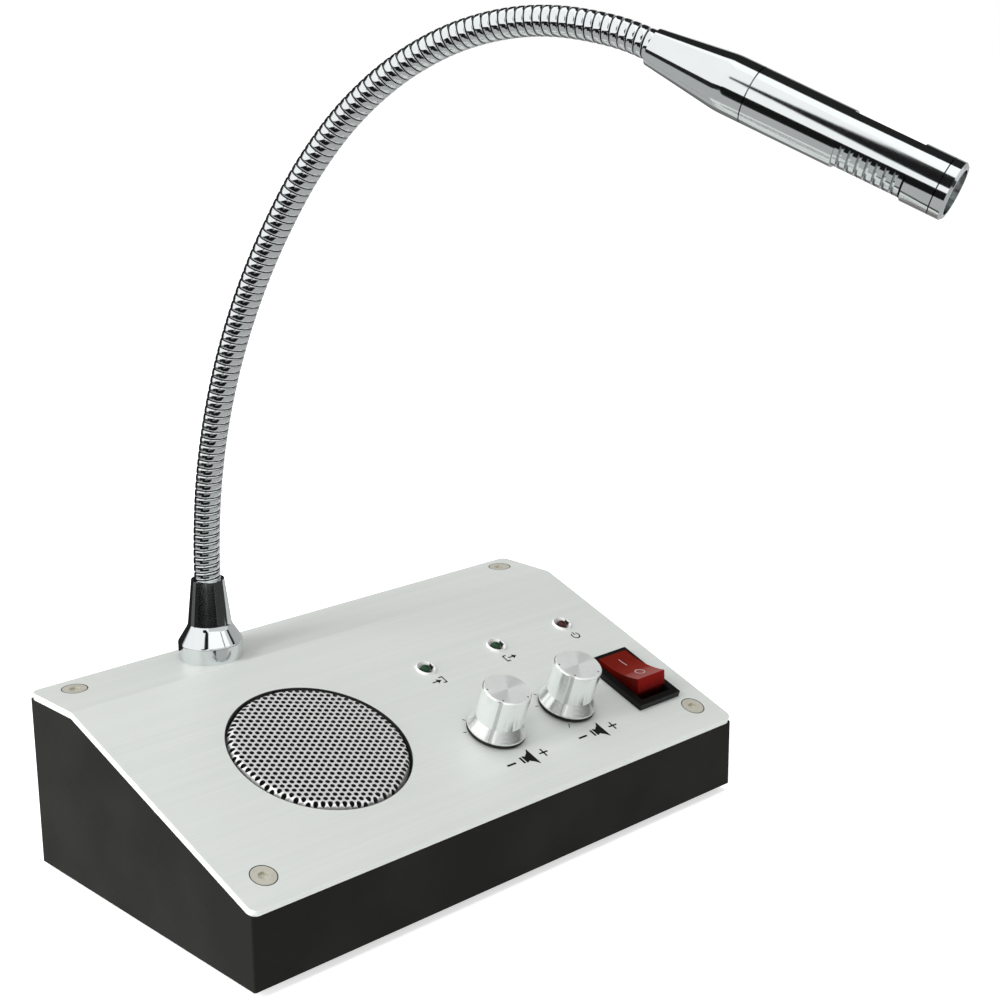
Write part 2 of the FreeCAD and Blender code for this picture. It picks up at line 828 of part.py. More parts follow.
def make_lamps():
    bezels, lamps, nuts, leads = [], [], [], []
    for index in range(3):
        place = on_slope(COLUMN_FIRST + " + %d * column_pitch" % index, "lamp_down")
        bezel = [
            ("bezel_bore", "0 - bezel_length"),
            ("bezel_tube", "0 - bezel_length"),
            ("bezel_tube", "0"),
            ("bezel_radius", "0"),
            ("bezel_radius - bezel_rise / 3", "bezel_rise"),
            ("bezel_radius - bezel_rise / 2", "bezel_rise"),
            ("bezel_bore", "0 - bezel_dish"),
        ]
        bezels.append(turned("bezel_%d" % index, bezel, place))
        lamp = [
            ("0", "lamp_rise - lamp_length"),
            ("lamp_radius", "lamp_rise - lamp_length"),
            ("lamp_radius", "lamp_rise"),
            ("0", "lamp_rise"),
        ]
        lens = turned("lamp_%d" % index, lamp)
        rounded(lens, "lamp_round", circle_at("lamp_radius", "lamp_rise"))
        lens.Placement = place
        lamps.append(lens)
        under = moved(place, z=UNDER + " - bezel_nut_height")
        bore = "bezel_tube + bezel_gap / 2"
        nuts.append(nut("bezel_nut_%d" % index, "bezel_nut_flats", bore, "bezel_nut_height", under))
        for side in ("-1", "1"):
            spot = moved(place, side + " * lead_spread / 2", "0", "lamp_rise - lamp_length - lead_length")
            leads.append(cylinder("lead_%d_%s" % (index, len(leads)), "lead_radius", "lead_length", spot))
    node(group("lamp_bezels", bezels), "lamp_bezels")
    node(group("lamp_bezel_nuts", nuts), "lamp_bezel_nuts")
    node(group("lamp_leads", leads), "lamp_leads")
    node(lamps[0], "lamp_in")
    node(lamps[1], "lamp_out")
    node(lamps[2], "lamp_power")


# ---------------------------------------------------------------- rocker switch


def make_switch():
    place = on_slope(COLUMN_FIRST + " + 2 * column_pitch", "control_down")
    frame = block("switch_frame", "switch_width", "switch_length", "switch_rise", place)
    low = moved(place, z="0 - switch_body_depth")
    box = block("switch_box", "switch_body_width", "switch_body_length", "switch_body_depth", low)
    room_x = "rocker_width + 2 * rocker_gap"
    bowl_floor = moved(place, z="0 - rocker_bowl")
    bowl = block("switch_bowl", room_x, "rocker_opening", "rocker_bowl + switch_rise", bowl_floor)
    pin_hole = "rocker_width + 2 * pivot_length + 4 * pivot_gap"
    holes = pivot_bar("switch_pin_holes", "pivot_radius + pivot_gap", pin_hole, rocker_axis())
    housing = cut("switch_housing", fuse("switch_solid", [frame, box]), fuse("switch_room", [bowl, holes]))
    node(housing, "switch_housing")
    tabs = []
    for index, side in enumerate(("-1", "1")):
        spot = moved(place, "0", side + " * terminal_spread", "0 - switch_body_depth - terminal_length")
        name = "terminal_%d" % index
        tabs.append(block(name, "terminal_width", "terminal_thickness", "terminal_length", spot))
    node(group("switch_terminals", tabs), "switch_terminals")


def rocker_axis():
    """The middle of the rocker's axis, under the panel's surface."""
    return on_slope(COLUMN_FIRST + " + 2 * column_pitch", "control_down", "0 - rocker_pivot")


def pivot_bar(name, radius, length, place):
    """A bar along X, centred on the rocker's axis."""
    turn = moved(place, "0 - (%s) / 2" % length).multiply(at(axis=FreeCAD.Vector(0, 1, 0), angle=90))
    return cylinder(name, radius, length, turn)


def make_rocker():
    """The rocker at rest: its far end is pressed in, so it is tilted about its axis."""
    tilted = rocker_axis().multiply(at(axis=FreeCAD.Vector(1, 0, 0), angle=-value("rocker_tilt")))
    outline = [
        ("0 - rocker_foot_reach", "0 - rocker_foot"),
        ("rocker_foot_reach", "0 - rocker_foot"),
        ("rocker_shoulder_reach", "rocker_shoulder"),
        ("rocker_reach", "rocker_top"),
        ("0 - rocker_reach", "rocker_top"),
        ("0 - rocker_shoulder_reach", "rocker_shoulder"),
    ]
    blank = new_body("rocker_blank")
    pad(blank, sketch_on(blank, "YZ_Plane", outline), "rocker_width", midplane=True)
    blank.Placement = tilted
    # the top is dished to an arc through both end corners
    dish = "((rocker_reach ^ 2 + rocker_dish ^ 2) / (2 * rocker_dish))"
    centre = "rocker_top - rocker_dish + " + dish
    hollow = pivot_bar("rocker_dish_tool", dish, "rocker_width * 2", moved(tilted, z=centre))
    shaped = cut("rocker_shaped", blank, hollow)
    pins = pivot_bar("rocker_pins", "pivot_radius", "rocker_width + 2 * pivot_length", tilted)
    node(fuse("rocker_button", [shaped, pins]), "rocker_button")


# ---------------------------------------------------------------- gooseneck


def make_socket():
    place = on_strip(NECK_X, "neck_back")
    outline = [
        ("cable_radius", "0 - stem_length"),
        ("stem_radius", "0 - stem_length"),
        ("stem_radius", "0"),
        ("socket_radius", "0"),
        ("socket_radius", "socket_ring"),
        ("socket_shoulder_radius", "socket_shoulder"),
        ("socket_top_radius", "socket_height"),
        ("neck_radius + neck_fit", "socket_height"),
        ("neck_radius + neck_fit", "socket_seat"),
        ("cable_radius", "socket_seat"),
    ]
    socket = turned("neck_socket_body", outline)
    rounded(socket, "socket_blend", circle_at("socket_shoulder_radius", "socket_shoulder"))
    rounded(socket, "socket_edge", circle_at("socket_radius", "socket_ring"))
    socket.Placement = place
    node(socket, "neck_socket")
    washer_low = UNDER + " - neck_washer_height"
    bore = "stem_radius + stem_gap"
    ring("neck_washer_ring", "neck_washer", "neck_washer_radius", bore, washer_low, UNDER, place)
    under = moved(place, z=washer_low + " - neck_nut_height")
    bore = "stem_radius + stem_gap / 2"
    node(nut("neck_lock_nut", "neck_nut_flats", bore, "neck_nut_height", under), "neck_nut")


LINK = "(neck_length / %d)" % NECK_HINGES


def link_turns():
    """(length in links, turn in degrees) of the root stub, each link and the tip stub."""
    rise, shoulder = value("neck_rise_turn"), value("neck_shoulder_turn")
    crown, tail = value("neck_crown_turn"), value("neck_tail_turn")
    turns = [(0.5, rise / 2)]
    turns += [(1, rise)] * 6
    turns += [(1, shoulder)] * 2
    turns += [(1, crown)] * 2
    turns += [(1, tail), (0.5, tail / 2)]
    return turns


def bend_frame(point, heading):
    """Local Z along the hose, local X towards the inside of the bend, local Y level."""
    aim = math.radians(value("neck_aim"))
    forward = FreeCAD.Vector(math.sin(aim), -math.cos(aim), 0)
    up = FreeCAD.Vector(0, 0, 1)
    angle = math.radians(heading)
    tangent = forward * math.cos(angle) + up * math.sin(angle)
    inward = forward * math.sin(angle) - up * math.cos(angle)
    level = tangent.cross(inward)
    matrix = FreeCAD.Matrix()
    for column, axis in enumerate((inward, level, tangent, point)):
        for line, number in enumerate(axis):
            setattr(matrix, "A%d%d" % (line + 1, column + 1), number)
    return FreeCAD.Placement(matrix)


def neck_frames():
    """The frame at the start of each length of hose and at the end of the last."""
    frame = on_strip(NECK_X, "neck_back", "socket_height")
    point, heading = frame.Base, value("neck_start")
    frames = [bend_frame(point, heading)]
    for links, turn in link_turns():
        chord = 2 * math.sin(math.radians(turn) / 2) * links * value(LINK) / math.radians(turn)
        middle = bend_frame(point, heading - turn / 2)
        point = middle.multVec(FreeCAD.Vector(0, 0, chord))
        heading -= turn
        frames.append(bend_frame(point, heading))
    return frames


def hose_length(turn, length, ball, cup, lead_in=0, lead_out=0):
    """A length of hose bent towards local X, with a ball end below and a cup end above where it hinges."""
    radius, bore = value("neck_radius"), value("neck_bore")
    gap, shoulder = value("ball_gap"), value("ball_shoulder")
    bend = length / math.radians(turn)
    origin, along_z = FreeCAD.Vector(), FreeCAD.Vector(0, 0, 1)

    def tube(size):
        disc = Part.Face(Part.Wire(Part.makeCircle(size, origin, along_z)))
        swept = disc.revolve(FreeCAD.Vector(bend, 0, 0), FreeCAD.Vector(0, 1, 0), turn)
        if lead_in:
            swept = swept.fuse(Part.makeCylinder(size, lead_in, FreeCAD.Vector(0, 0, -lead_in), along_z))
        if lead_out:
            swept = swept.fuse(Part.makeCylinder(size, lead_out, tip.Base, tip.Rotation.multVec(along_z)))
        return swept

    tip = FreeCAD.Placement(FreeCAD.Vector(bend, 0, 0), FreeCAD.Rotation(FreeCAD.Vector(0, 1, 0), turn))
    tip = tip.multiply(FreeCAD.Placement(FreeCAD.Vector(-bend, 0, 0), FreeCAD.Rotation()))
    shape = tube(radius)
    if ball:
        low = FreeCAD.Vector(0, 0, shoulder - radius * 2)
        shape = shape.cut(Part.makeCylinder(radius * 2, radius * 2, low, along_z))
        shape = shape.fuse(Part.makeSphere(radius - gap))
        shape = shape.cut(Part.makeCylinder(bore, radius * 2, FreeCAD.Vector(0, 0, -radius * 2), along_z))
    if cup:
        shape = shape.cut(Part.makeSphere(radius + gap, tip.Base, along_z, -90, 90, 360))
    return shape.cut(tube(bore)).removeSplitter()


def make_neck():
    frames = neck_frames()
    turns = link_turns()
    last = len(turns) - 1
    names = ["neck_root"] + ["neck_link_%d" % n for n in range(1, last)] + ["neck_tip"]
    for index, (links, turn) in enumerate(turns):
        lead_in = value("socket_height - socket_seat") if index == 0 else 0
        lead_out = value("hose_lead + ferrule_seat") if index == last else 0
        length = links * value(LINK)
        shape = hose_length(turn, length, index > 0, index < last, lead_in, lead_out)
        piece = doc.addObject("Part::Feature", names[index])
        piece.Shape = shape
        piece.Placement = frames[index]
        node(piece, names[index])


# ---------------------------------------------------------------- microphone

TUBE_END = "(ferrule_length + mic_length - cap_length)"
TUBE_BORE = "(mic_radius - mic_wall)"


def make_microphone():
    place = moved(neck_frames()[-1], z="hose_lead")
    ferrule = [
        ("neck_radius + neck_fit", "0"),
        ("ferrule_start_radius", "0"),
        ("mic_radius", "ferrule_length - ferrule_round"),
        ("mic_radius", "ferrule_length"),
        (TUBE_BORE + " - mic_fit", "ferrule_length"),
        (TUBE_BORE + " - mic_fit", "ferrule_length + mic_spigot"),
        ("cable_radius", "ferrule_length + mic_spigot"),
        ("cable_radius", "ferrule_seat + neck_fit"),
        ("neck_radius + neck_fit", "ferrule_seat + neck_fit"),
    ]
    body = turned("ferrule_body", ferrule)
    rounded(body, "ferrule_round * 4", circle_at("mic_radius", "ferrule_length - ferrule_round"))
    body.Placement = place
    node(body, "mic_ferrule")
    start = "ferrule_length + mic_seam"
    outline = [(TUBE_BORE, start), ("mic_radius", start), ("mic_radius", TUBE_END), (TUBE_BORE, TUBE_END)]
    tube = turned("mic_tube_body", outline, place)
    turn = at(axis=FreeCAD.Vector(0, 0, 1), angle=value("vent_turn"))
    spot = moved(place, z="ferrule_length + vent_start").multiply(turn)
    window = block("vent_window", "mic_radius * 4", "vent_width", "vent_length", spot)
    node(cut("mic_tube", tube, window), "mic_tube")
    node(turned("vent_sleeve", vent_outline(), place), "mic_vent_sleeve")
    spigot = TUBE_END + " - mic_spigot / 2"
    cap = [
        ("cap_bore", TUBE_END + " + mesh_thickness"),
        (TUBE_BORE + " - mic_wall - mic_fit", TUBE_END + " + mesh_thickness"),
        (TUBE_BORE + " - mic_wall - mic_fit", spigot),
        (TUBE_BORE + " - mic_fit", spigot),
        (TUBE_BORE + " - mic_fit", TUBE_END + " + mic_seam"),
        ("mic_radius", TUBE_END + " + mic_seam"),
        ("mic_radius", TUBE_END + " + cap_length"),
        ("cap_bore", TUBE_END + " + cap_length"),
    ]
    end_cap = turned("end_cap_body", cap)
    rounded(end_cap, "cap_edge", circle_at("mic_radius", TUBE_END + " + cap_length"), "Chamfer")
    end_cap.Placement = place
    node(end_cap, "mic_end_cap")
    inside_cap = TUBE_BORE + " - mic_wall - 2 * mic_fit"
    node(cylinder("mesh_disc", inside_cap, "mesh_thickness", moved(place, z=TUBE_END)), "mic_mesh")
    behind_mesh = moved(place, z=TUBE_END + " - capsule_length")
    node(cylinder("capsule_can", "capsule_radius", "capsule_length", behind_mesh), "mic_capsule")


def vent_outline():
    """A sleeve under the two windows, ringed by ribs with grooves between them."""
    low = "ferrule_length + vent_start - vent_pitch"
    outer = TUBE_BORE + " - mic_fit"
    groove = "(%s - mic_fit - vent_groove)" % TUBE_BORE
    bore = groove + " - vent_sleeve_wall"
    points = [(bore, low), (outer, low)]
    for index in range(VENT_RIBS + 1):
        start = low + " + vent_pitch * %g + vent_rib" % index
        points.append((outer, start))
        points.append((groove, start + " + (vent_pitch - vent_rib) / 3"))
        points.append((groove, start + " + (vent_pitch - vent_rib) * 2 / 3"))
        points.append((outer, start + " + vent_pitch - vent_rib"))
    high = low + " + vent_pitch * %g + vent_rib" % (VENT_RIBS + 1)
    return points + [(outer, high), (bore, high)]


# ---------------------------------------------------------------- sockets on the back wall


def make_dc_jack():
    place = on_back(DC_JACK_X, "jack_height")
    outline = [
        ("dc_jack_bore", "dc_jack_flange_height"),
        ("dc_jack_flange", "dc_jack_flange_height"),
        ("dc_jack_flange", "0"),
        ("dc_jack_radius", "0"),
        ("dc_jack_radius", "0 - dc_jack_length"),
        ("0", "0 - dc_jack_length"),
        ("0", "dc_jack_flange_height - dc_jack_bore_depth"),
        ("dc_jack_bore", "dc_jack_flange_height - dc_jack_bore_depth"),
    ]
    node(turned("dc_jack_body", outline, place), "dc_jack")
    floor = moved(place, z="dc_jack_flange_height - dc_jack_bore_depth")
    pin = cylinder("dc_pin", "dc_jack_pin", "dc_jack_bore_depth - dc_jack_flange_height", floor)
    node(pin, "dc_jack_pin")
    inside = moved(place, z="0 - case_wall - dc_nut_height")
    bore = "dc_jack_radius + jack_gap / 2"
    node(nut("dc_nut", "dc_nut_flats", bore, "dc_nut_height", inside), "dc_jack_nut")


def make_audio_jacks():
    jacks, nuts = [], []
    for index in range(2):
        place = on_back(AUDIO_X + " + %d * audio_pitch" % index, "jack_height")
        inside = "0 - case_wall"
        outline = [
            ("audio_bore", "audio_rise"),
            ("audio_radius", "audio_rise"),
            ("audio_radius", inside),
            ("audio_box", inside),
            ("audio_box", inside + " - audio_box_length"),
            ("0", inside + " - audio_box_length"),
            ("0", "audio_rise - audio_bore_depth"),
            ("audio_bore", "audio_rise - audio_bore_depth"),
        ]
        jacks.append(turned("audio_jack_%d" % index, outline, place))
        bore = "audio_radius + jack_gap / 2"
        nuts.append(nut("audio_nut_%d" % index, "audio_nut_flats", bore, "audio_nut_height", place))
    node(group("audio_jacks", jacks), "audio_jacks")
    node(group("audio_jack_nuts", nuts), "audio_jack_nuts")


# ---------------------------------------------------------------- amplifier board


def on_board(x, y, z="0"):
    """A point on the board's top, measured from its back left corner to the right and to the front."""
    return at(BOARD_LEFT + " + (%s)" % x, "case_depth / 2 - board_back - (%s)" % y, BOARD_TOP + " + (%s)" % z)


def make_board():
    blank_place = on_board("board_length / 2", "board_width / 2", "0 - board_thickness")
    blank = block("board_blank", "board_length", "board_width", "board_thickness", blank_place)
    holes = []
    for index, place in enumerate(board_holes(BOARD_TOP + " - board_thickness")):
        holes.append(cylinder("board_hole_%d" % index, BOARD_BORE, "board_thickness", place))
    node(cut("board", blank, fuse("board_holes", holes)), "amplifier_board")
    screws = []
    for index, place in enumerate(board_holes(BOARD_TOP)):
        outline = [
            ("0", "board_screw_head_height"),
            ("board_screw_head", "board_screw_head_height"),
            ("board_screw_head", "0"),
            ("board_screw_radius", "0"),
            ("board_screw_radius", "0 - board_screw_length"),
            ("0", "0 - board_screw_length"),
        ]
        screws.append(turned("board_screw_%d" % index, outline, place))
    node(group("board_screws", screws), "board_screws")


def make_heatsink():
    corner = on_board("board_length / 2", "board_width / 2")
    plate = block("heatsink_plate", "heatsink_length", "heatsink_base", "heatsink_height", corner)
    fins = []
    first = "0 - heatsink_length / 2 + heatsink_fin / 2"
    for index in range(HEATSINK_FINS):
        x = first + " + %d * heatsink_pitch" % index
        spot = moved(corner, x, "heatsink_depth / 2")
        fins.append(block("fin_%d" % index, "heatsink_fin", "heatsink_depth", "heatsink_height", spot))
    node(fuse("heatsink", [plate] + fins), "amplifier_heatsink")
    spot = moved(corner, "0", "0 - (heatsink_base + chip_thickness) / 2")
    node(block("chip", "chip_length", "chip_thickness", "chip_height", spot), "amplifier_chip")


def make_board_parts():
    cans = []
    for index in range(CAPACITORS):
        spot = on_board("capacitor_first + %d * capacitor_pitch" % index, "board_width - capacitor_front")
        cans.append(cylinder("capacitor_%d" % index, "capacitor_radius", "capacitor_height", spot))
    node(group("capacitors", cans), "board_capacitors")
    headers = []
    for index in range(HEADERS):
        spot = on_board("header_first + %d * header_pitch" % index, "board_width - header_front")
        headers.append(block("header_%d" % index, "header_length", "header_width", "header_height", spot))
    node(group("headers", headers), "board_headers")


# ---------------------------------------------------------------- build and write


def build():
    make_case()
    make_feet()
    make_panel()
    make_panel_screws()
    make_grille()
    make_speaker()
    make_pots()
    make_knob(0, "inside_volume")
    make_knob(1, "outside_volume")
    make_lamps()
    make_switch()
    make_rocker()
    make_socket()
    make_neck()
    make_microphone()
    make_dc_jack()
    make_audio_jacks()
    make_board()
    make_heatsink()
    make_board_parts()
    doc.recompute()


def check():
    for item in doc.Objects:
        if "Invalid" in item.State or "Error" in item.State:
            raise RuntimeError("%s did not compute: %s" % (item.Name, item.State))
    for item in nodes:
        if item.Shape.isNull() or not item.Shape.isValid() or item.Shape.Volume <= 0:
            raise RuntimeError("%s has no valid solid" % item.Label)


def write():
    os.makedirs("parts", exist_ok=True)
    for item in nodes:
        item.Shape.exportStep("parts/%s.step" % item.Label)
        print("%-22s %d solid(s) %10.1f mm3" % (item.Label, len(item.Shape.Solids), item.Shape.Volume))
    print(len(nodes), "nodes")


build()
check()
write()
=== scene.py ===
# %% [markdown]
# # Counter intercom: the looks
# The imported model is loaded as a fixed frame: every rigid piece is already in its place, in metres,
# with +X to the right, +Y to the back and +Z up. This script gives each of those pieces a finish,
# winds the gooseneck's spring hose, punches the loudspeaker's cup and prints the marks.

import json
import math

import bpy
import bmesh
from mathutils import Euler, Matrix, Vector
from mathutils.bvhtree import BVHTree


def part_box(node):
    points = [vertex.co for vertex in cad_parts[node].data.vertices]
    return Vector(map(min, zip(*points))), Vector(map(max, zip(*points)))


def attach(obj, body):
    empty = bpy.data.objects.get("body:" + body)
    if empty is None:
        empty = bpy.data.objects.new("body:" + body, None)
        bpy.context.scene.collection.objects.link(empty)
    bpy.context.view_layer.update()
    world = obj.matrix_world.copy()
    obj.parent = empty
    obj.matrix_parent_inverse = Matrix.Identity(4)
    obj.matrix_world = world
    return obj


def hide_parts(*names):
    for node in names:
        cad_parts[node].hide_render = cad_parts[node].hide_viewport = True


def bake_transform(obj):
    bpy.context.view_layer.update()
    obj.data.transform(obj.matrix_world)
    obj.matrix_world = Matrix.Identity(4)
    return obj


MM = 0.001
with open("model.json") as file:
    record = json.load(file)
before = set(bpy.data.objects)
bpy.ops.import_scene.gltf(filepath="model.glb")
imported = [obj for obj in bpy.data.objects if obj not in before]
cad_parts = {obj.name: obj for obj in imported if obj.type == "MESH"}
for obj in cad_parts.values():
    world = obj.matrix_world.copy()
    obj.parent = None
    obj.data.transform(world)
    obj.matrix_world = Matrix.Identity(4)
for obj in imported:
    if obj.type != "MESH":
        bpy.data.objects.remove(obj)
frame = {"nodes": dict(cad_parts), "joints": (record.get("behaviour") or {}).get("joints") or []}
nodes = frame["nodes"]
joints = {joint["name"]: joint for joint in frame["joints"]}
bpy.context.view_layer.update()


def in_mm(length):
    """A length in millimetres, for printing."""
    return round(length / MM, 2)


# %% [markdown]
# ## Places on the object
# The slope's frame comes from the joints of the knobs and of the rocker: they stand square on the
# panel, so their axis is its normal. A point on the slope is then given by how far it lies to the
# right, how far down the slope, and how high above the panel.

# %% The slope
slope_normal = Vector(joints["inside_volume_turn"]["axis"])
down_slope = Vector((0, -slope_normal.z, slope_normal.y))
slope_turn = Matrix((Vector((1, 0, 0)), -down_slope, slope_normal)).transposed()
first_knob = Vector(joints["inside_volume_turn"]["pos_m"])
second_knob = Vector(joints["outside_volume_turn"]["pos_m"])
rocker_axis_point = Vector(joints["power_rocker"]["pos_m"])


def on_slope(right, down, above=0):
    """A point of the slope, measured in metres from the first knob's axis at the panel."""
    return first_knob + Vector((right, 0, 0)) + down_slope * down + slope_normal * above


def slope_matrix(right, down, above=0):
    """Local X right, Y up the slope and Z out of it, at a point of the slope."""
    return Matrix.Translation(on_slope(right, down, above)) @ slope_turn.to_4x4()


def middle(node):
    """The middle of a node's box."""
    low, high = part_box(node)
    return (low + high) / 2


speaker_centre = middle("speaker_grille")
speaker_right = speaker_centre.x - first_knob.x
speaker_down = (speaker_centre - first_knob).dot(down_slope)
control_pitch = (second_knob - first_knob).x
print("slope normal", tuple(round(part, 3) for part in slope_normal))
print("columns every", in_mm(control_pitch), "mm")

# %% [markdown]
# ## Shader arithmetic
# A material's pattern is a small sum, and node by node it gets long. `Wire` wraps one socket, so that
# `1 - mask` or `height * 3` adds the Math node itself. Any other node comes from `NodeTree.add`, which
# sets a node's settings first and then its sockets.


# %% Wires and trees
class Wire:
    """One output socket that takes part in Python arithmetic."""

    def __init__(self, tree, socket):
        self.tree = tree
        self.socket = socket

    def math(self, operation, *values):
        return self.tree.add("ShaderNodeMath", {"operation": operation}, dict(enumerate((self, *values))))

    def __add__(self, other):
        return self.math("ADD", other)

    def __sub__(self, other):
        return self.math("SUBTRACT", other)

    def __mul__(self, other):
        return self.math("MULTIPLY", other)

    def __rsub__(self, other):
        return self.tree.number(other).math("SUBTRACT", self)

    __radd__ = __add__
    __rmul__ = __mul__

    def steps(self, low, high):
        """0 below low, 1 above high and smooth between."""
        sockets = {"Value": self, "From Min": low, "From Max": high}
        return self.tree.add("ShaderNodeMapRange", {"interpolation_type": "SMOOTHSTEP"}, sockets)


class NodeTree:
    """A shader tree of a material or of the world."""

    def __init__(self, owner):
        owner.use_nodes = True
        self.nodes = owner.node_tree.nodes
        self.links = owner.node_tree.links
        self.nodes.clear()

    def add(self, kind, settings=None, sockets=None, output=0):
        node = self.nodes.new(kind)
        for name, value in (settings or {}).items():
            setattr(node, name, value)
        for name, value in (sockets or {}).items():
            if isinstance(value, Wire):
                self.links.new(value.socket, node.inputs[name])
            else:
                node.inputs[name].default_value = value
        return Wire(self, node.outputs[output])

    def number(self, value):
        return self.add("ShaderNodeMath", {"operation": "ADD"}, {0: value, 1: 0.0})

    def place(self, scale=(1, 1, 1)):
        """The point on the object, in metres, scaled."""
        point = self.add("ShaderNodeTexCoord", output="Object")
        return self.add("ShaderNodeMapping", {"vector_type": "POINT"}, {"Vector": point, "Scale": scale})

    def parts(self, vector):
        """The three numbers of a vector."""
        separate = self.nodes.new("ShaderNodeSeparateXYZ")
        self.links.new(vector.socket, separate.inputs[0])
        return [Wire(self, output) for output in separate.outputs]

    def noise(self, vector, scale, detail=2.0, roughness=0.5):
        sockets = {"Vector": vector, "Scale": scale, "Detail": detail, "Roughness": roughness}
        return self.add("ShaderNodeTexNoise", {"noise_dimensions": "3D"}, sockets, "Fac")

    def blend(self, factor, first, second):
        """A colour between two colours."""
        sockets = {"Factor": factor, 6: first, 7: second}
        return self.add("ShaderNodeMix", {"data_type": "RGBA"}, sockets, 2)

    def bump(self, height, depth, distance):
        """A normal that tilts as a height does."""
        sockets = {"Strength": depth, "Distance": distance, "Height": height}
        return self.add("ShaderNodeBump", {}, sockets)

    def away(self, point, centre):
        """How far a point is from a centre, in metres."""
        offset = self.add("ShaderNodeVectorMath", {"operation": "SUBTRACT"}, {0: point, 1: centre})
        return self.add("ShaderNodeVectorMath", {"operation": "LENGTH"}, {0: offset}, 1)

    def along(self, point, centre, axis):
        """How far a point is from a centre along an axis, in metres."""
        offset = self.add("ShaderNodeVectorMath", {"operation": "SUBTRACT"}, {0: point, 1: centre})
        return self.add("ShaderNodeVectorMath", {"operation": "DOT_PRODUCT"}, {0: offset, 1: axis}, 1)

    def from_axis(self, point, centre, axis):
        """How far a point is from an axis through a centre, in metres."""
        length, height = self.away(point, centre), self.along(point, centre, axis)
        return (length * length - height * height).math("SQRT")

    def finish(self, shader, kind="ShaderNodeOutputMaterial"):
        output = self.nodes.new(kind)
        self.links.new(shader.socket, output.inputs["Surface"])


def grey(level, tint=(1, 1, 1)):
    """A linear colour from a grey level and a tint."""
    return (level * tint[0], level * tint[1], level * tint[2], 1)


def material(name, make):
    """A material whose tree `make(tree)` fills; make returns the sockets of a Principled shader."""
    made = bpy.data.materials.new(name)
    tree = NodeTree(made)
    shader = tree.add("ShaderNodeBsdfPrincipled", {}, make(tree))
    tree.finish(shader)
    return made


def paint(finish, *names):
    """Puts a finish on CAD nodes or on pieces."""
    for name in names:
        target = nodes[name] if isinstance(name, str) else name
        target.data.materials.clear()
        target.data.materials.append(finish)


# %% [markdown]
# ## Brushed aluminium
# The panel is brushed along its width and clear anodised: pale, a little cool, with fine streaks that
# are long in X and very narrow across. One noise stretched that way drives a faint change of colour,
# of roughness and of height together, as the brushed grain does on the real sheet. Within a hair of the
# cut edges of the loudspeaker's opening and of the countersinks the finish is painted near black:
# painted shade, for the shadow in those gaps.


# %% Panel finish
EDGE_SHADE = 0.12 * MM
EDGE_SOFT = EDGE_SHADE / 2
OPENING_GAP = 0.45 * MM
CUP_WALL = (-1.4 * MM, 1 * MM)
SCREW_REACH = 5 * MM
UP = Vector((0, 0, 1))


def surface_radius(node, centre, axis, low, high):
    """How far a node reaches from an axis, between two heights along it."""
    reach = 0.0
    for vertex in nodes[node].data.vertices:
        offset = vertex.co - centre
        if low <= offset.dot(axis) <= high:
            reach = max(reach, offset.cross(axis).length)
    return reach


def screw_heads():
    """The middle of each panel screw's head. The four screws are one node, so its corners are sorted."""
    centre = middle("panel_screws")
    heads = []
    for right in (False, True):
        for back in (False, True):
            own = [v.co for v in nodes["panel_screws"].data.vertices
                   if (v.co.x > centre.x) == right and (v.co.y > centre.y) == back]
            axis = UP if back else slope_normal
            top = max(point.dot(axis) for point in own)
            rim = [point for point in own if point.dot(axis) > top - EDGE_SHADE]
            heads.append(sum(rim, Vector()) / len(rim))
    return heads


def head_reach(head):
    """The radius of a screw's head, from the corners that lie in its plane."""
    offsets = [vertex.co - head for vertex in nodes["panel_screws"].data.vertices]
    level_offsets = [offset for offset in offsets if abs(offset.dot(slope_normal)) < EDGE_SHADE]
    return max(offset.length for offset in level_offsets if offset.length < SCREW_REACH)


cup_centre = on_slope(speaker_right, speaker_down)
cup_radius = surface_radius("speaker_grille", cup_centre, slope_normal, *CUP_WALL)
heads = screw_heads()
head_radius = head_reach(heads[0])
print("cup radius", in_mm(cup_radius), "mm; screw heads' radius", in_mm(head_radius), "mm, at")
for head in heads:
    print("  ", [in_mm(part) for part in head])


def brushed_panel(tree):
    fine = tree.noise(tree.place(scale=(12, 4200, 4200)), 1.0, 3.0, 0.6)
    broad = tree.noise(tree.place(scale=(5, 420, 420)), 1.0, 2.0, 0.5)
    streak = fine * 0.65 + broad * 0.35
    pale = grey(0.81, (0.965, 1.0, 0.965))
    dark = grey(0.765, (0.96, 1.0, 0.96))
    metal = tree.blend(streak.steps(0.3, 0.7), dark, pale)
    point = tree.place()
    # painted shade: near black and not metallic within a hair of the opening and round each screw head
    opening = cup_radius + OPENING_GAP + EDGE_SHADE
    shade = 1 - tree.from_axis(point, cup_centre, slope_normal).steps(opening - EDGE_SOFT, opening)
    for head in heads:
        rim = head_radius + 2 * EDGE_SHADE
        shade = shade.math("MAXIMUM", 1 - tree.away(point, head).steps(rim - EDGE_SOFT, rim))
    return {
        "Base Color": tree.blend(shade, metal, grey(0.02)),
        "Metallic": 0.25 - shade * 0.25,
        "Roughness": 0.42 + streak * 0.12,
        "Normal": tree.bump(fine, 0.05, 0.00004),
    }


panel_finish = material("brushed_panel", brushed_panel)
paint(panel_finish, "front_panel")

# %% [markdown]
# ## Moulded case
# Dark warm grey ABS with the fine satin grain of a spark-eroded mould: a small soft noise as height
# and a little as roughness keeps the big flat sides from looking like plain colour. The feet and the
# loudspeaker's gasket are dull black rubber, made the same way with a rougher grain.


# %% Case and rubber
CASE_TINT = (1.0, 0.99, 0.88)


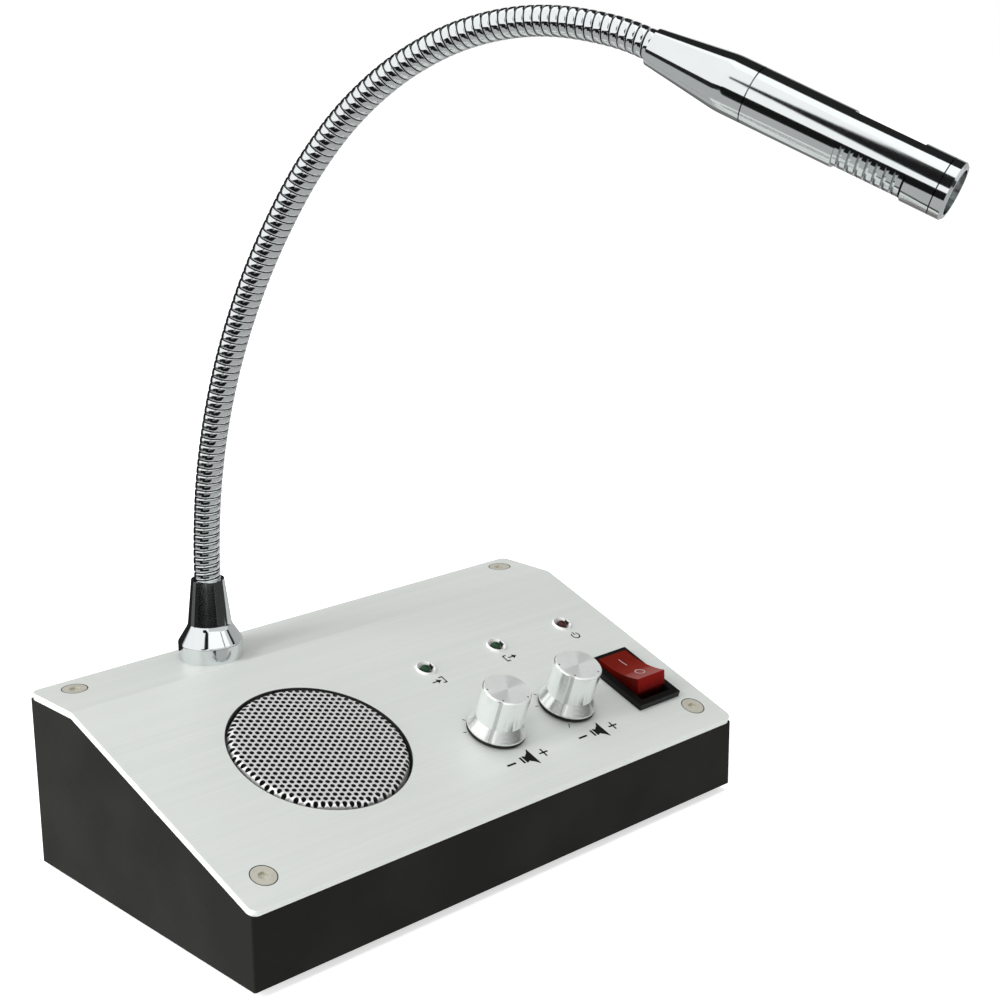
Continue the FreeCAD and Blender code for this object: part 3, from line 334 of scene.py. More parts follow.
def moulded_case(tree):
    point = tree.place()
    grain = tree.noise(point, 2600, 2.0, 0.55)
    patch = tree.noise(point, 45, 2.0, 0.5)
    dark = grey(0.0112, CASE_TINT)
    light = grey(0.0158, CASE_TINT)
    return {
        "Base Color": tree.blend(patch.steps(0.3, 0.7), dark, light),
        "Roughness": 0.42 + grain * 0.16,
        "Specular IOR Level": 0.12,
        "Normal": tree.bump(grain, 0.35, 0.00008),
    }


case_finish = material("moulded_case", moulded_case)
paint(case_finish, "case_shell")


def dull_rubber(tree):
    grain = tree.noise(tree.place(), 1800, 2.0, 0.6)
    return {
        "Base Color": tree.blend(grain, grey(0.012), grey(0.022)),
        "Roughness": 0.75 + grain * 0.15,
        "Normal": tree.bump(grain, 0.3, 0.0001),
    }


rubber_finish = material("dull_rubber", dull_rubber)
paint(rubber_finish, "rubber_feet", "speaker_gasket")
print("case and rubber finished")

# %% [markdown]
# ## Bright plating
# The hose, its socket and the microphone are chrome plated. Chrome has hardly a colour of its own, so
# what makes it read as chrome is the studio around it; the finish only adds the faint unevenness of a
# polished tube, in roughness and in a very shallow ripple. The joints of the microphone's tube are dark
# with dirt. The grooves of the hose are painted dark: painted shade, weaker where the turns face up.


# %% Chrome finish
CHROME_TINT = (0.96, 1.0, 1.01)
SEAM_HALF = 0.14 * MM
TUBE_NAMES = ["mic_ferrule", "mic_tube", "mic_end_cap", "mic_vent_sleeve"]
HOSE_NAMES = ["neck_root", *["neck_link_%d" % number for number in range(1, 12)], "neck_tip"]


def end_on_axis(node, axis_point, direction):
    """Where a turned node ends along its axis, which runs through a point."""
    reach = max((vertex.co - axis_point).dot(direction) for vertex in nodes[node].data.vertices)
    return axis_point + direction * reach


mic_axis = (middle("mic_end_cap") - middle("mic_tube")).normalized()
tube_centre = middle("mic_tube")
seams = [end_on_axis("mic_tube", tube_centre, -mic_axis), end_on_axis("mic_tube", tube_centre, mic_axis)]


def bright_plating(dirt_and_shade):
    """Chrome, with a tree's own dark places: dirt_and_shade(tree) is 1 in a dirty seam or in a groove's
    painted shade, and 0 on bare metal.
    """
    def make(tree):
        cloud = tree.noise(tree.place(), 160, 2.0, 0.5)
        bright = tree.blend(cloud, grey(0.72, CHROME_TINT), grey(0.8, CHROME_TINT))
        return {
            "Base Color": tree.blend(dirt_and_shade(tree), bright, grey(0.015)) if dirt_and_shade else bright,
            "Metallic": 1.0,
            "Roughness": 0.05 + cloud * 0.04,
            "Normal": tree.bump(cloud, 0.03, 0.0003),
        }

    return make


def seam_dirt(tree):
    """The two joints round the microphone's tube."""
    masks = []
    for seam in seams:
        off = tree.along(tree.place(), seam, mic_axis).math("ABSOLUTE")
        masks.append(1 - off.steps(SEAM_HALF * 0.7, SEAM_HALF))
    return masks[0].math("MAXIMUM", masks[1])


def painted_groove_shade(tree):
    """Painted shade on the sides of the hose's turns, by the depth that the winding stores, and less where
    they face up.
    """
    depth = tree.add("ShaderNodeAttribute", {"attribute_name": "depth"}, output="Fac")
    outward = tree.add("ShaderNodeAttribute", {"attribute_name": "outward"}, output="Vector")
    upward = tree.parts(outward)[2].steps(0.0, 0.6)
    # painted shade: darker deep in each groove, and less where the turn faces up
    return depth.steps(0.35, 0.75) * (1 - upward * 0.8)


chrome_finish = material("bright_plating", bright_plating(None))
tube_finish = material("plated_tube", bright_plating(seam_dirt))
hose_finish = material("plated_hose", bright_plating(painted_groove_shade))
paint(chrome_finish, "neck_socket", *HOSE_NAMES)
paint(tube_finish, *TUBE_NAMES)
print("microphone's seams", in_mm((seams[1] - seams[0]).length), "mm apart")

# %% [markdown]
# ## Plain metals and plastics
# Screws, nuts and the loudspeaker's frame are zinc or nickel plated steel, the knobs are turned
# aluminium, and the small mouldings are black. `worn_metal` and `plain_plastic` make a family of
# finishes from a colour and a roughness.


# %% Families of finishes
def worn_metal(name, colour, roughness, metallic=1.0):
    def make(tree):
        cloud = tree.noise(tree.place(), 700, 3.0, 0.6)
        darker = tuple(part * 0.8 for part in colour[:3]) + (1,)
        return {
            "Base Color": tree.blend(cloud, darker, colour),
            "Metallic": metallic,
            "Roughness": roughness + cloud * 0.12,
            "Normal": tree.bump(cloud, 0.1, 0.0001),
        }

    return material(name, make)


def plain_plastic(name, colour, roughness, coat=0.0):
    def make(tree):
        grain = tree.noise(tree.place(), 1500, 2.0, 0.5)
        lighter = tuple(part * 1.25 for part in colour[:3]) + (1,)
        return {
            "Base Color": tree.blend(grain, colour, lighter),
            "Roughness": roughness + grain * 0.08,
            "Specular IOR Level": 0.12,
            "Coat Weight": coat,
            "Normal": tree.bump(grain, 0.08, 0.0001),
        }

    return material(name, make)


nickel = worn_metal("nickel_screw", (0.72, 0.7, 0.6, 1), 0.35, 0.35)
zinc = worn_metal("zinc_steel", (0.5, 0.5, 0.49, 1), 0.32)
plain_aluminium = worn_metal("extruded_aluminium", (0.6, 0.6, 0.6, 1), 0.38)
brass = worn_metal("brass_contact", (0.75, 0.55, 0.22, 1), 0.28)
black_gloss = plain_plastic("black_gloss", (0.006, 0.006, 0.006, 1), 0.28)
black_matt = plain_plastic("black_moulding", (0.014, 0.014, 0.014, 1), 0.45)
board_green = plain_plastic("board_green", (0.015, 0.09, 0.035, 1), 0.3, 0.3)
pressed_paper = plain_plastic("pressed_paper", (0.015, 0.015, 0.015, 1), 0.85)
ferrite = plain_plastic("ferrite", (0.03, 0.03, 0.032, 1), 0.6)
paint(nickel, "panel_screws")
paint(zinc, "speaker_yoke", "volume_pots", "volume_pot_nuts", "lamp_bezel_nuts", "lamp_leads")
paint(zinc, "neck_washer", "neck_nut", "dc_jack_nut", "audio_jack_nuts", "board_screws", "mic_mesh")
paint(plain_aluminium, "amplifier_heatsink", "inside_volume_shaft", "outside_volume_shaft", "mic_capsule")
paint(brass, "switch_terminals", "dc_jack_pin")
paint(black_gloss, "switch_housing", "board_capacitors")
paint(black_matt, "dc_jack", "audio_jacks", "amplifier_chip", "board_headers")
paint(black_matt, "inside_volume_insert", "outside_volume_insert", "speaker_basket")
paint(board_green, "amplifier_board")
paint(pressed_paper, "speaker_cone")
paint(ferrite, "speaker_magnet")
print("finishes so far", len(bpy.data.materials))

# %% [markdown]
# ## Knobs
# Each knob is a turned aluminium shell. Turning leaves rings too fine to model. Their height is a sine
# of the distance from the axis on the end face, and of the height along the axis on the side. The fan
# of light and dark that a spun face shows is a painted sheen in the colour, a cosine of twice the angle
# round the axis. Three small dots lie near the face's edge, and a soft grey streak down the side is a
# painted reflection.


# %% Knob finish
KNOB_TINT = (0.97, 1.0, 0.98)
RING_PITCH = 0.16 * MM
SIDE_PITCH = RING_PITCH * 1.7
DOT_RADIUS = 0.27 * MM
DOT_INSET = 0.45 * MM
DOT_ANGLES = (-126, -68, 150)
STREAK_ANGLE = math.radians(-124)
STREAK_HALF = 0.6 * MM
STREAK_START = 1 * MM
STREAK_STRENGTH = 0.55
FAN_ANGLE = math.radians(64)
FAN_STRENGTH = 0.35
FACE_EDGE = (0.2 * MM, 0.05 * MM)
FACE_BAND = 0.3 * MM


def spun_aluminium(name, axis_point, knob):
    top = max((vertex.co - axis_point).dot(slope_normal) for vertex in nodes[knob].data.vertices)
    face_radius = surface_radius(knob, axis_point, slope_normal, top - FACE_BAND, top)

    def make(tree):
        point = tree.place()
        height = tree.along(point, axis_point, slope_normal)
        radius = tree.from_axis(point, axis_point, slope_normal)
        across = tree.along(point, axis_point, (1, 0, 0))
        up_slope = tree.along(point, axis_point, -down_slope)
        rings = (radius * (2 * math.pi / RING_PITCH)).math("SINE")
        bands = (height * (2 * math.pi / SIDE_PITCH)).math("SINE")
        on_face = height.steps(top - FACE_EDGE[0], top - FACE_EDGE[1])
        cloud = tree.noise(point, 900, 2.0, 0.5)
        groove = rings * on_face + bands * (1 - on_face) * 0.5
        # painted sheen: the fan of light and dark of a spun face, painted into the colour
        fan = ((across.math("ARCTAN2", up_slope) - FAN_ANGLE) * 2).math("COSINE").steps(0.3, 1.0) * on_face
        # painted reflection: a soft dark streak down the side of the knob
        ahead = across * math.sin(STREAK_ANGLE) + up_slope * math.cos(STREAK_ANGLE)
        aside = across * math.cos(STREAK_ANGLE) - up_slope * math.sin(STREAK_ANGLE)
        dark_streak = 1 - aside.math("ABSOLUTE").steps(STREAK_HALF / 2, STREAK_HALF)
        dark_streak = dark_streak * ahead.steps(0, STREAK_START) * (1 - on_face)
        painted_reflection_grey = grey(0.3, KNOB_TINT)
        metal = tree.blend(cloud, grey(0.8, KNOB_TINT), grey(0.9, KNOB_TINT))
        metal = tree.blend(dark_streak * STREAK_STRENGTH, metal, painted_reflection_grey)
        metal = tree.blend(fan * FAN_STRENGTH, metal, painted_reflection_grey)
        dots = 0
        for angle in DOT_ANGLES:
            turn = math.radians(angle)
            out = Vector((math.sin(turn), 0, 0)) - down_slope * math.cos(turn)
            dot = axis_point + slope_normal * top + out * (face_radius - DOT_INSET)
            dots = dots + 1 - tree.away(point, dot).steps(DOT_RADIUS * 0.7, DOT_RADIUS)
        return {
            "Base Color": tree.blend(dots, metal, grey(0.01)),
            "Metallic": 0.85 - on_face * 0.5,
            "Roughness": 0.16 + cloud * 0.08 + on_face * 0.16,
            "Normal": tree.bump(groove, 0.5, 0.000012),
        }

    return material(name, make)


paint(spun_aluminium("spun_first_knob", first_knob, "inside_volume_knob"), "inside_volume_knob")
paint(spun_aluminium("spun_second_knob", second_knob, "outside_volume_knob"), "outside_volume_knob")
print("knobs finished")

# %% [markdown]
# ## Lamps and rocker
# The lamp lenses are unlit: deep green, and deep red for power, under a thin clear skin. Each sits in a
# bright bezel whose inner wall has one dark patch, a painted reflection. The lamps stand in columns, so
# the patch is drawn once, in each column, by the remainder of the distance to the right.


# %% Lenses and bezels
REFLECTION_NEAR = (0.9 * MM, 1.1 * MM)
REFLECTION_FAR = (2.1 * MM, 2.3 * MM)
REFLECTION_LEVEL = (0.6 * MM, 0.9 * MM)


def tinted_lens(name, colour):
    def make(tree):
        depth = tree.noise(tree.place(), 900, 1.0, 0.5)
        deeper = tuple(part * 0.45 for part in colour[:3]) + (1,)
        return {
            "Base Color": tree.blend(depth, deeper, colour),
            "Roughness": 0.12,
            "Specular IOR Level": 0.2,
            "Coat Weight": 0.15,
        }

    return material(name, make)


def lamp_bezel(tree):
    """Bright plating with one dark patch on the right of its inner wall: a painted reflection."""
    point = tree.place()
    cloud = tree.noise(point, 900, 2.0, 0.5)
    lamp = middle("lamp_in")
    column = tree.along(point, lamp, (1, 0, 0)) + control_pitch / 2
    across = column.math("FLOORED_MODULO", control_pitch) - control_pitch / 2
    level_off = tree.along(point, lamp, down_slope).math("ABSOLUTE")
    # painted reflection: a dark patch on the right of the bezel's inner wall
    dark_reflection = across.steps(*REFLECTION_NEAR) * (1 - across.steps(*REFLECTION_FAR))
    dark_reflection = dark_reflection * (1 - level_off.steps(*REFLECTION_LEVEL))
    return {
        "Base Color": tree.blend(dark_reflection, tree.blend(cloud, grey(0.92), grey(0.96)), grey(0.008)),
        "Metallic": 0.2 - dark_reflection * 0.2,
        "Roughness": 0.2 + cloud * 0.1,
        "Normal": tree.bump(cloud, 0.05, 0.0001),
    }


paint(tinted_lens("green_lens", (0.012, 0.055, 0.022, 1)), "lamp_in", "lamp_out")
paint(tinted_lens("red_lens", (0.05, 0.012, 0.010, 1)), "lamp_power")
paint(material("lamp_bezel", lamp_bezel), "lamp_bezels")
print("three lenses and their bezels finished")

# %% [markdown]
# The rocker is moulded in red, glossy on its dished top and dull on its upright walls. Painted shade
# makes it dark near its well and along its left edge. At rest it is tilted by half of its travel, and
# its front wall leans a little further.

# %% Rocker
ROCKER_LEAN = math.radians(9.9)
ROCKER_SHOWN = 5 * MM
ROCKER_LIT = (3.4 * MM, 8.0 * MM)
WALL_EDGE = (0.12 * MM, 0.04 * MM)
LEFT_EDGE = 0.1 * MM
LEFT_LIGHT = 0.2
front_turn = math.radians(joints["power_rocker"]["range_deg"][1] / 2) + ROCKER_LEAN
rocker_front = down_slope * math.cos(front_turn) + slope_normal * math.sin(front_turn)
rocker_shown = [vertex.co - rocker_axis_point for vertex in nodes["rocker_button"].data.vertices]
rocker_shown = [offset for offset in rocker_shown if offset.dot(slope_normal) > ROCKER_SHOWN]
rocker_half = max(offset.x for offset in rocker_shown)
rocker_reach = max(offset.dot(rocker_front) for offset in rocker_shown)
print("rocker half width", in_mm(rocker_half), "mm, reach to its front wall", in_mm(rocker_reach), "mm")


def red_moulding(tree):
    """Painted light from above: painted shade near the well and at the left edge, and glossy only on the
    dished top.
    """
    point = tree.place()
    cloud = tree.noise(point, 260, 2.0, 0.5)
    grain = tree.noise(point, 2400, 2.0, 0.5)
    height = tree.along(point, rocker_axis_point, slope_normal)
    across = tree.along(point, rocker_axis_point, (1, 0, 0))
    forward = tree.along(point, rocker_axis_point, rocker_front)
    off_left = across.steps(-rocker_half, -rocker_half + LEFT_EDGE)
    # painted shade: the red goes dark near the well and along the left edge
    lit = height.steps(*ROCKER_LIT) * (LEFT_LIGHT + (1 - LEFT_LIGHT) * off_left)
    sides = across.math("ABSOLUTE").steps(rocker_half - WALL_EDGE[0], rocker_half - WALL_EDGE[1])
    front = forward.steps(rocker_reach - WALL_EDGE[0], rocker_reach - WALL_EDGE[1])
    wall = front.math("MAXIMUM", sides)
    lit_red = tree.blend(cloud, (0.21, 0.013, 0.006, 1), (0.28, 0.018, 0.008, 1))
    lit_red = tree.blend(wall, lit_red, (0.22, 0.003, 0.001, 1))
    return {
        "Base Color": tree.blend(lit, (0.045, 0.002, 0.001, 1), lit_red),
        "Roughness": 0.34 + grain * 0.12,
        "Specular IOR Level": 0.05,
        "Coat Weight": 0.6 * (1 - wall),
        "Normal": tree.bump(grain, 0.1, 0.0001),
    }


paint(material("red_moulding", red_moulding), "rocker_button")

# %% [markdown]
# ## The gooseneck
# The real hose is a spring of flattened wire, wound tight, nearly nine turns to each link of the frame.
# So it is built as one. The path runs from the socket to the microphone through the hinges of the
# chain, and at each hinge it heads halfway between the link before and the link after, as an arc would.


# %% The hose's path
bend_joints = [joints["neck_bend_%d" % number] for number in range(1, 7)]
sway_joints = [joints["neck_sway_%d" % number] for number in range(1, 7)]
hinges = [Vector(joint["pos_m"]) for pair in zip(bend_joints, sway_joints) for joint in pair]
level = Vector(bend_joints[0]["axis"]).normalized()
neck_foot = end_on_axis("neck_socket", middle("neck_socket"), UP)
mic_root = end_on_axis("mic_ferrule", tube_centre, -mic_axis)
path_points = [neck_foot, *hinges, mic_root]
chords = [(end - start).normalized() for start, end in zip(path_points, path_points[1:])]
path_headings = [UP, *[(before + after).normalized() for before, after in zip(chords, chords[1:])], mic_axis]
link_length = (hinges[1] - hinges[0]).length
hose_length = 12 * link_length
print("hose", in_mm(hose_length), "mm in twelve links of", in_mm(link_length), "mm")

# %% [markdown]
# ## Helpers for Geometry Nodes
# `GeometryTree` builds a tree by code: a size is a named input, `make` adds a node and gives its first
# output, and `run` puts the tree on a source object as a modifier, keeps the mesh that comes out and
# takes the modifier off again, so that each piece is a plain mesh.


# %% Geometry node helpers
class GeometryTree:
    """A Geometry Nodes tree with named inputs."""

    def __init__(self, name):
        self.group = bpy.data.node_groups.new(name, "GeometryNodeTree")
        self.group.interface.new_socket("Geometry", in_out="OUTPUT", socket_type="NodeSocketGeometry")
        self.group.interface.new_socket("Geometry", in_out="INPUT", socket_type="NodeSocketGeometry")
        self.inputs = self.group.nodes.new("NodeGroupInput")

    def size(self, name):
        """A named input of the tree and its socket."""
        self.group.interface.new_socket(name, in_out="INPUT", socket_type="NodeSocketFloat")
        return self.inputs.outputs[name]

    def add(self, kind, settings=None, sockets=None):
        node = self.group.nodes.new(kind)
        for name, value in (settings or {}).items():
            setattr(node, name, value)
        for name, value in (sockets or {}).items():
            if isinstance(value, bpy.types.NodeSocket):
                self.group.links.new(value, node.inputs[name])
            else:
                node.inputs[name].default_value = value
        return node

    def make(self, kind, settings=None, sockets=None):
        """The first output of a new node."""
        return self.add(kind, settings, sockets).outputs[0]

    def math(self, operation, *values):
        return self.make("ShaderNodeMath", {"operation": operation}, dict(enumerate(values)))

    def vector(self, operation, *values, output=0):
        node = self.add("ShaderNodeVectorMath", {"operation": operation}, dict(enumerate(values)))
        return node.outputs[output]

    def scaled(self, vector, factor):
        return self.make("ShaderNodeVectorMath", {"operation": "SCALE"}, {0: vector, "Scale": factor})

    def stack(self, x=0.0, y=0.0, z=0.0):
        """A vector from three numbers."""
        return self.make("ShaderNodeCombineXYZ", {}, {0: x, 1: y, 2: z})

    def parts(self, vector):
        """The three numbers of a vector."""
        return self.add("ShaderNodeSeparateXYZ", {}, {0: vector}).outputs

    def circle(self, radius, sides):
        return self.make("GeometryNodeCurvePrimitiveCircle", {}, {"Resolution": sides, "Radius": radius})

    def store(self, geometry, name, value, kind="FLOAT"):
        """Stores a value on every point, under a name."""
        sockets = {"Geometry": geometry, "Name": name, "Value": value}
        return self.make("GeometryNodeStoreNamedAttribute", {"data_type": kind, "domain": "POINT"}, sockets)

    def shift(self, geometry, **place):
        """Moves every point to a Position or by an Offset."""
        return self.make("GeometryNodeSetPosition", {}, {"Geometry": geometry, **place})

    def join(self, *parts):
        node = self.add("GeometryNodeJoinGeometry")
        for part in parts:
            self.group.links.new(part, node.inputs[0])
        return node.outputs[0]

    def end(self, geometry, finish, smooth=True, edges=None):
        """Realises instances, sets the material, and another on chosen edges, and ends the tree."""
        realised = self.make("GeometryNodeRealizeInstances", {}, {"Geometry": geometry})
        sockets = {"Geometry": realised, "Shade Smooth": smooth}
        shaded = self.make("GeometryNodeSetShadeSmooth", {}, sockets)
        coated = self.make("GeometryNodeSetMaterial", {}, {"Geometry": shaded, "Material": finish})
        if edges:
            sockets = {"Geometry": coated, "Selection": edges[0], "Material": edges[1]}
            coated = self.make("GeometryNodeSetMaterial", {}, sockets)
        self.add("NodeGroupOutput", {}, {0: coated})
        return self

    def identifier(self, name):
        """What a modifier calls a named input."""
        for item in self.group.interface.items_tree:
            if item.name == name and item.in_out == "INPUT":
                return item.identifier
        raise KeyError(name)

    def run(self, source, name, **sizes):
        """A plain mesh object that the tree makes from a source object."""
        modifier = source.modifiers.new("grow", "NODES")
        modifier.node_group = self.group
        for size, value in sizes.items():
            modifier[self.identifier(size)] = value
        depsgraph = bpy.context.evaluated_depsgraph_get()
        mesh = bpy.data.meshes.new_from_object(source.evaluated_get(depsgraph), depsgraph=depsgraph)
        source.modifiers.remove(modifier)
        mesh.name = name
        return link_piece(name, mesh)


def link_piece(name, mesh):
    """A new object in the scene, with its data."""
    piece = bpy.data.objects.new(name, mesh)
    bpy.context.scene.collection.objects.link(piece)
    return piece


def curve_source(name, points, headings):
    """A Bezier curve through points, whose handles give each arc its heading."""
    curve = bpy.data.curves.new(name, "CURVE")
    curve.dimensions = "3D"
    curve.resolution_u = 64
    spline = curve.splines.new("BEZIER")
    spline.bezier_points.add(len(points) - 1)
    for index, (knot, point, heading) in enumerate(zip(spline.bezier_points, points, headings)):
        before = (point - points[max(index - 1, 0)]).length / 3
        after = (points[min(index + 1, len(points) - 1)] - point).length / 3
        knot.handle_left_type = knot.handle_right_type = "FREE"
        knot.co = point
        knot.handle_left = point - heading * (before or after)
        knot.handle_right = point + heading * (after or before)
    return link_piece(name, curve)


# %% [markdown]
# ## Winding the hose
# The path is resampled finely, and every point is moved out from it by the coil's radius, at an angle
# that grows with the length along the path. The level direction of the bend is one fixed vector, so the
# coil has no twist of its own. The wire's section is a circle, squared and flattened, so that the turns
# almost touch and leave narrow grooves. How far a point lies from the section's outer side is stored as
# its depth, and the painted shade in the grooves reads it.


# %% The winding
COIL_PITCH = 1.86 * MM
STEPS_PER_TURN = 32
SECTION_SIDES = 20
SECTION_POWER = 0.5
TURN_WIDTH = 1.66 * MM
TURN_BULGE = 0.4 * MM
HOSE_RADIUS = 3.15 * MM
TRIM_START, TRIM_END = 4, 5


def winding_path(tree, begin, end, pitch, radius):
    """The middle of the wire: a helix round one stretch of the path, with its outward direction."""
    sockets = {"Curve": tree.inputs.outputs["Geometry"], TRIM_START: begin, TRIM_END: end}
    stretch = tree.make("GeometryNodeTrimCurve", {"mode": "LENGTH"}, sockets)
    spacing = tree.math("DIVIDE", pitch, float(STEPS_PER_TURN))
    fine = tree.make("GeometryNodeResampleCurve", {"mode": "LENGTH"}, {"Curve": stretch, "Length": spacing})
    travelled = tree.math("ADD", tree.add("GeometryNodeSplineParameter").outputs["Length"], begin)
    angle = tree.math("MULTIPLY", tree.math("DIVIDE", travelled, pitch), 2 * math.pi)
    inward = tree.vector("CROSS_PRODUCT", tree.make("GeometryNodeInputTangent"), level)
    out_level = tree.scaled(level, tree.math("SINE", tree.math("MULTIPLY", angle, -1.0)))
    out_inward = tree.scaled(inward, tree.math("COSINE", angle))
    outward = tree.vector("ADD", out_level, out_inward)
    marked = tree.store(fine, "outward", outward, "FLOAT_VECTOR")
    helix = tree.shift(marked, Offset=tree.scaled(outward, radius))
    stored = tree.make("GeometryNodeInputNamedAttribute", {"data_type": "FLOAT_VECTOR"}, {"Name": "outward"})
    return tree.make("GeometryNodeSetCurveNormal", {"mode": "FREE"}, {"Curve": helix, "Normal": stored})


def wire_section(tree, width, bulge):
    """The wire's section, with its points' depth from the outer side."""
    place = tree.make("GeometryNodeInputPosition")
    depth = tree.math("SUBTRACT", 1.0, tree.parts(place)[0])
    measured = tree.store(tree.circle(1.0, SECTION_SIDES), "depth", depth)
    squared = tree.vector("POWER", tree.vector("ABSOLUTE", place), (SECTION_POWER, SECTION_POWER, 1.0))
    signed = tree.vector("MULTIPLY", squared, tree.vector("SIGN", place))
    flat = tree.stack(bulge, tree.math("MULTIPLY", width, 0.5), 1.0)
    return tree.shift(measured, Position=tree.vector("MULTIPLY", signed, flat))


def spring_tree():
    tree = GeometryTree("wound_hose")
    begin, end = tree.size("Begin"), tree.size("End")
    pitch, outer = tree.size("Pitch"), tree.size("Outer")
    width, bulge = tree.size("Width"), tree.size("Bulge")
    wire = winding_path(tree, begin, end, pitch, tree.math("SUBTRACT", outer, bulge))
    sockets = {"Curve": wire, "Profile Curve": wire_section(tree, width, bulge), "Fill Caps": True}
    return tree.end(tree.make("GeometryNodeCurveToMesh", {}, sockets), hose_finish)


print("turns on the hose", round(hose_length / COIL_PITCH))

# %% [markdown]
# The hose is cut into twelve pieces of the same path, one for each hinge. The forward hinges bend
# further than the sideways ones, so their pieces are longer.

# %% Wind and cut the hose
HOSE_TUCK = 3.0 * MM
LAST_TUCK = 1 * MM
BEND_SHARE = 0.78
spring = spring_tree()
path_start = [neck_foot - UP * HOSE_TUCK, *path_points, mic_root + mic_axis * HOSE_TUCK]
path_turns = [UP, *path_headings, mic_axis]
hose_path = curve_source("hose_path", path_start, path_turns)
hose_bodies = ["case"] + ["neck_%d" % number for number in range(1, 12)] + ["microphone"]
hose_points = [neck_foot]
hose_cuts = [0.0]
for number, (first, second) in enumerate(zip(hinges, hinges[1:])):
    share = 1 - BEND_SHARE if number % 2 else BEND_SHARE
    hose_points.append(first.lerp(second, share))
    hose_cuts.append(HOSE_TUCK + (number + 0.5 + share) * link_length)
hose_points.append(mic_root)
hose_cuts.append(HOSE_TUCK + hose_length + HOSE_TUCK + LAST_TUCK)
total_faces = 0
for number, (begin, end) in enumerate(zip(hose_cuts, hose_cuts[1:])):
    sizes = {"Begin": begin, "End": end, "Pitch": COIL_PITCH, "Outer": HOSE_RADIUS}
    sizes.update({"Width": TURN_WIDTH, "Bulge": TURN_BULGE})
    piece = spring.run(hose_path, "hose_%02d" % (number + 1), **sizes)
    hose_bodies[number + 1]
    hose_points[number + 1]
    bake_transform(piece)
    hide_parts(*HOSE_NAMES[number:number + (2 if number == 11 else 1)])
    total_faces += len(piece.data.polygons)
bpy.data.objects.remove(hose_path)
print("hose pieces:", len(hose_cuts) - 1, "faces:", total_faces)

# %% [markdown]
# ## The loudspeaker's cup
# The real cup is pressed from perforated sheet: the holes lie in a hexagonal pattern and run on over
# the rounded edge. The same order of work gives the same look here. A flat sheet is punched first, by
# filling the space between one big circle and hundreds of small ones. Its outer part is then bent down
# over the edge, so that the length along the sheet is kept, and last of all it gets its thickness.


# %% Punch and press the cup
SHEET = 0.4 * MM
HOLE_PITCH = 1.63 * MM
HOLE_RADIUS = 0.57 * MM
HOLE_SIDES = 12
RIM_SIDES = 160
ROW_TURN = math.radians(-25.5)
CUP_EDGE = 1.6 * MM
CUP_RISE = 0.4 * MM
CUP_HEM = 0.6 * MM
MERGE_DISTANCE = 0.00001 * MM


def punched_sheet(tree, pitch, hole, punched, blank):
    """A flat round sheet with holes in hexagons, none with its middle further out than `punched`."""
    row = tree.math("MULTIPLY", pitch, math.sqrt(3) / 2)
    half_rows = tree.math("CEIL", tree.math("DIVIDE", blank, row))
    rows = tree.math("ADD", tree.math("MULTIPLY", half_rows, 2.0), 1.0)
    gaps = tree.math("SUBTRACT", rows, 1.0)
    sockets = {"Size X": tree.math("MULTIPLY", gaps, pitch), "Size Y": tree.math("MULTIPLY", gaps, row)}
    lattice = tree.make("GeometryNodeMeshGrid", {}, {**sockets, "Vertices X": rows, "Vertices Y": rows})
    place = tree.make("GeometryNodeInputPosition")
    row_number = tree.math("ROUND", tree.math("DIVIDE", tree.parts(place)[1], row))
    odd = tree.math("FLOORED_MODULO", row_number, 2.0)
    half_pitch = tree.math("MULTIPLY", pitch, 0.5)
    hexagons = tree.shift(lattice, Offset=tree.stack(tree.math("MULTIPLY", odd, half_pitch)))
    turned = tree.make("GeometryNodeTransform", {}, {"Geometry": hexagons, "Rotation": (0, 0, ROW_TURN)})
    outside = tree.math("GREATER_THAN", tree.vector("LENGTH", place, output=1), punched)
    sockets = {"Geometry": turned, "Selection": outside}
    kept = tree.make("GeometryNodeDeleteGeometry", {"domain": "POINT"}, sockets)
    points = tree.make("GeometryNodeMeshToPoints", {}, {"Mesh": kept})
    sockets = {"Points": points, "Instance": tree.circle(hole, HOLE_SIDES)}
    holes = tree.make("GeometryNodeInstanceOnPoints", {}, sockets)
    outlines = tree.join(holes, tree.circle(blank, RIM_SIDES))
    loose = tree.make("GeometryNodeRealizeInstances", {}, {"Geometry": outlines})
    return tree.make("GeometryNodeFillCurve", {"mode": "TRIANGLES"}, {"Curve": loose})


def pressed_place(tree, face, bend, arc):
    """Where each point of the flat sheet goes as its outer part is bent down over the edge."""
    place = tree.make("GeometryNodeInputPosition")
    reach = tree.vector("LENGTH", place, output=1)
    over = tree.math("MAXIMUM", tree.math("SUBTRACT", reach, face), 0.0)
    angle = tree.math("MINIMUM", tree.math("DIVIDE", over, bend), math.pi / 2)
    below = tree.math("MAXIMUM", tree.math("SUBTRACT", over, arc), 0.0)
    round_edge = tree.math("MULTIPLY", tree.math("SINE", angle), bend)
    out = tree.math("ADD", tree.math("MINIMUM", reach, face), round_edge)
    curl = tree.math("MULTIPLY", tree.math("SUBTRACT", 1.0, tree.math("COSINE", angle)), bend)
    drop = tree.math("MULTIPLY", tree.math("ADD", curl, below), -1.0)
    return tree.vector("ADD", tree.scaled(tree.vector("NORMALIZE", place), out), tree.stack(z=drop))


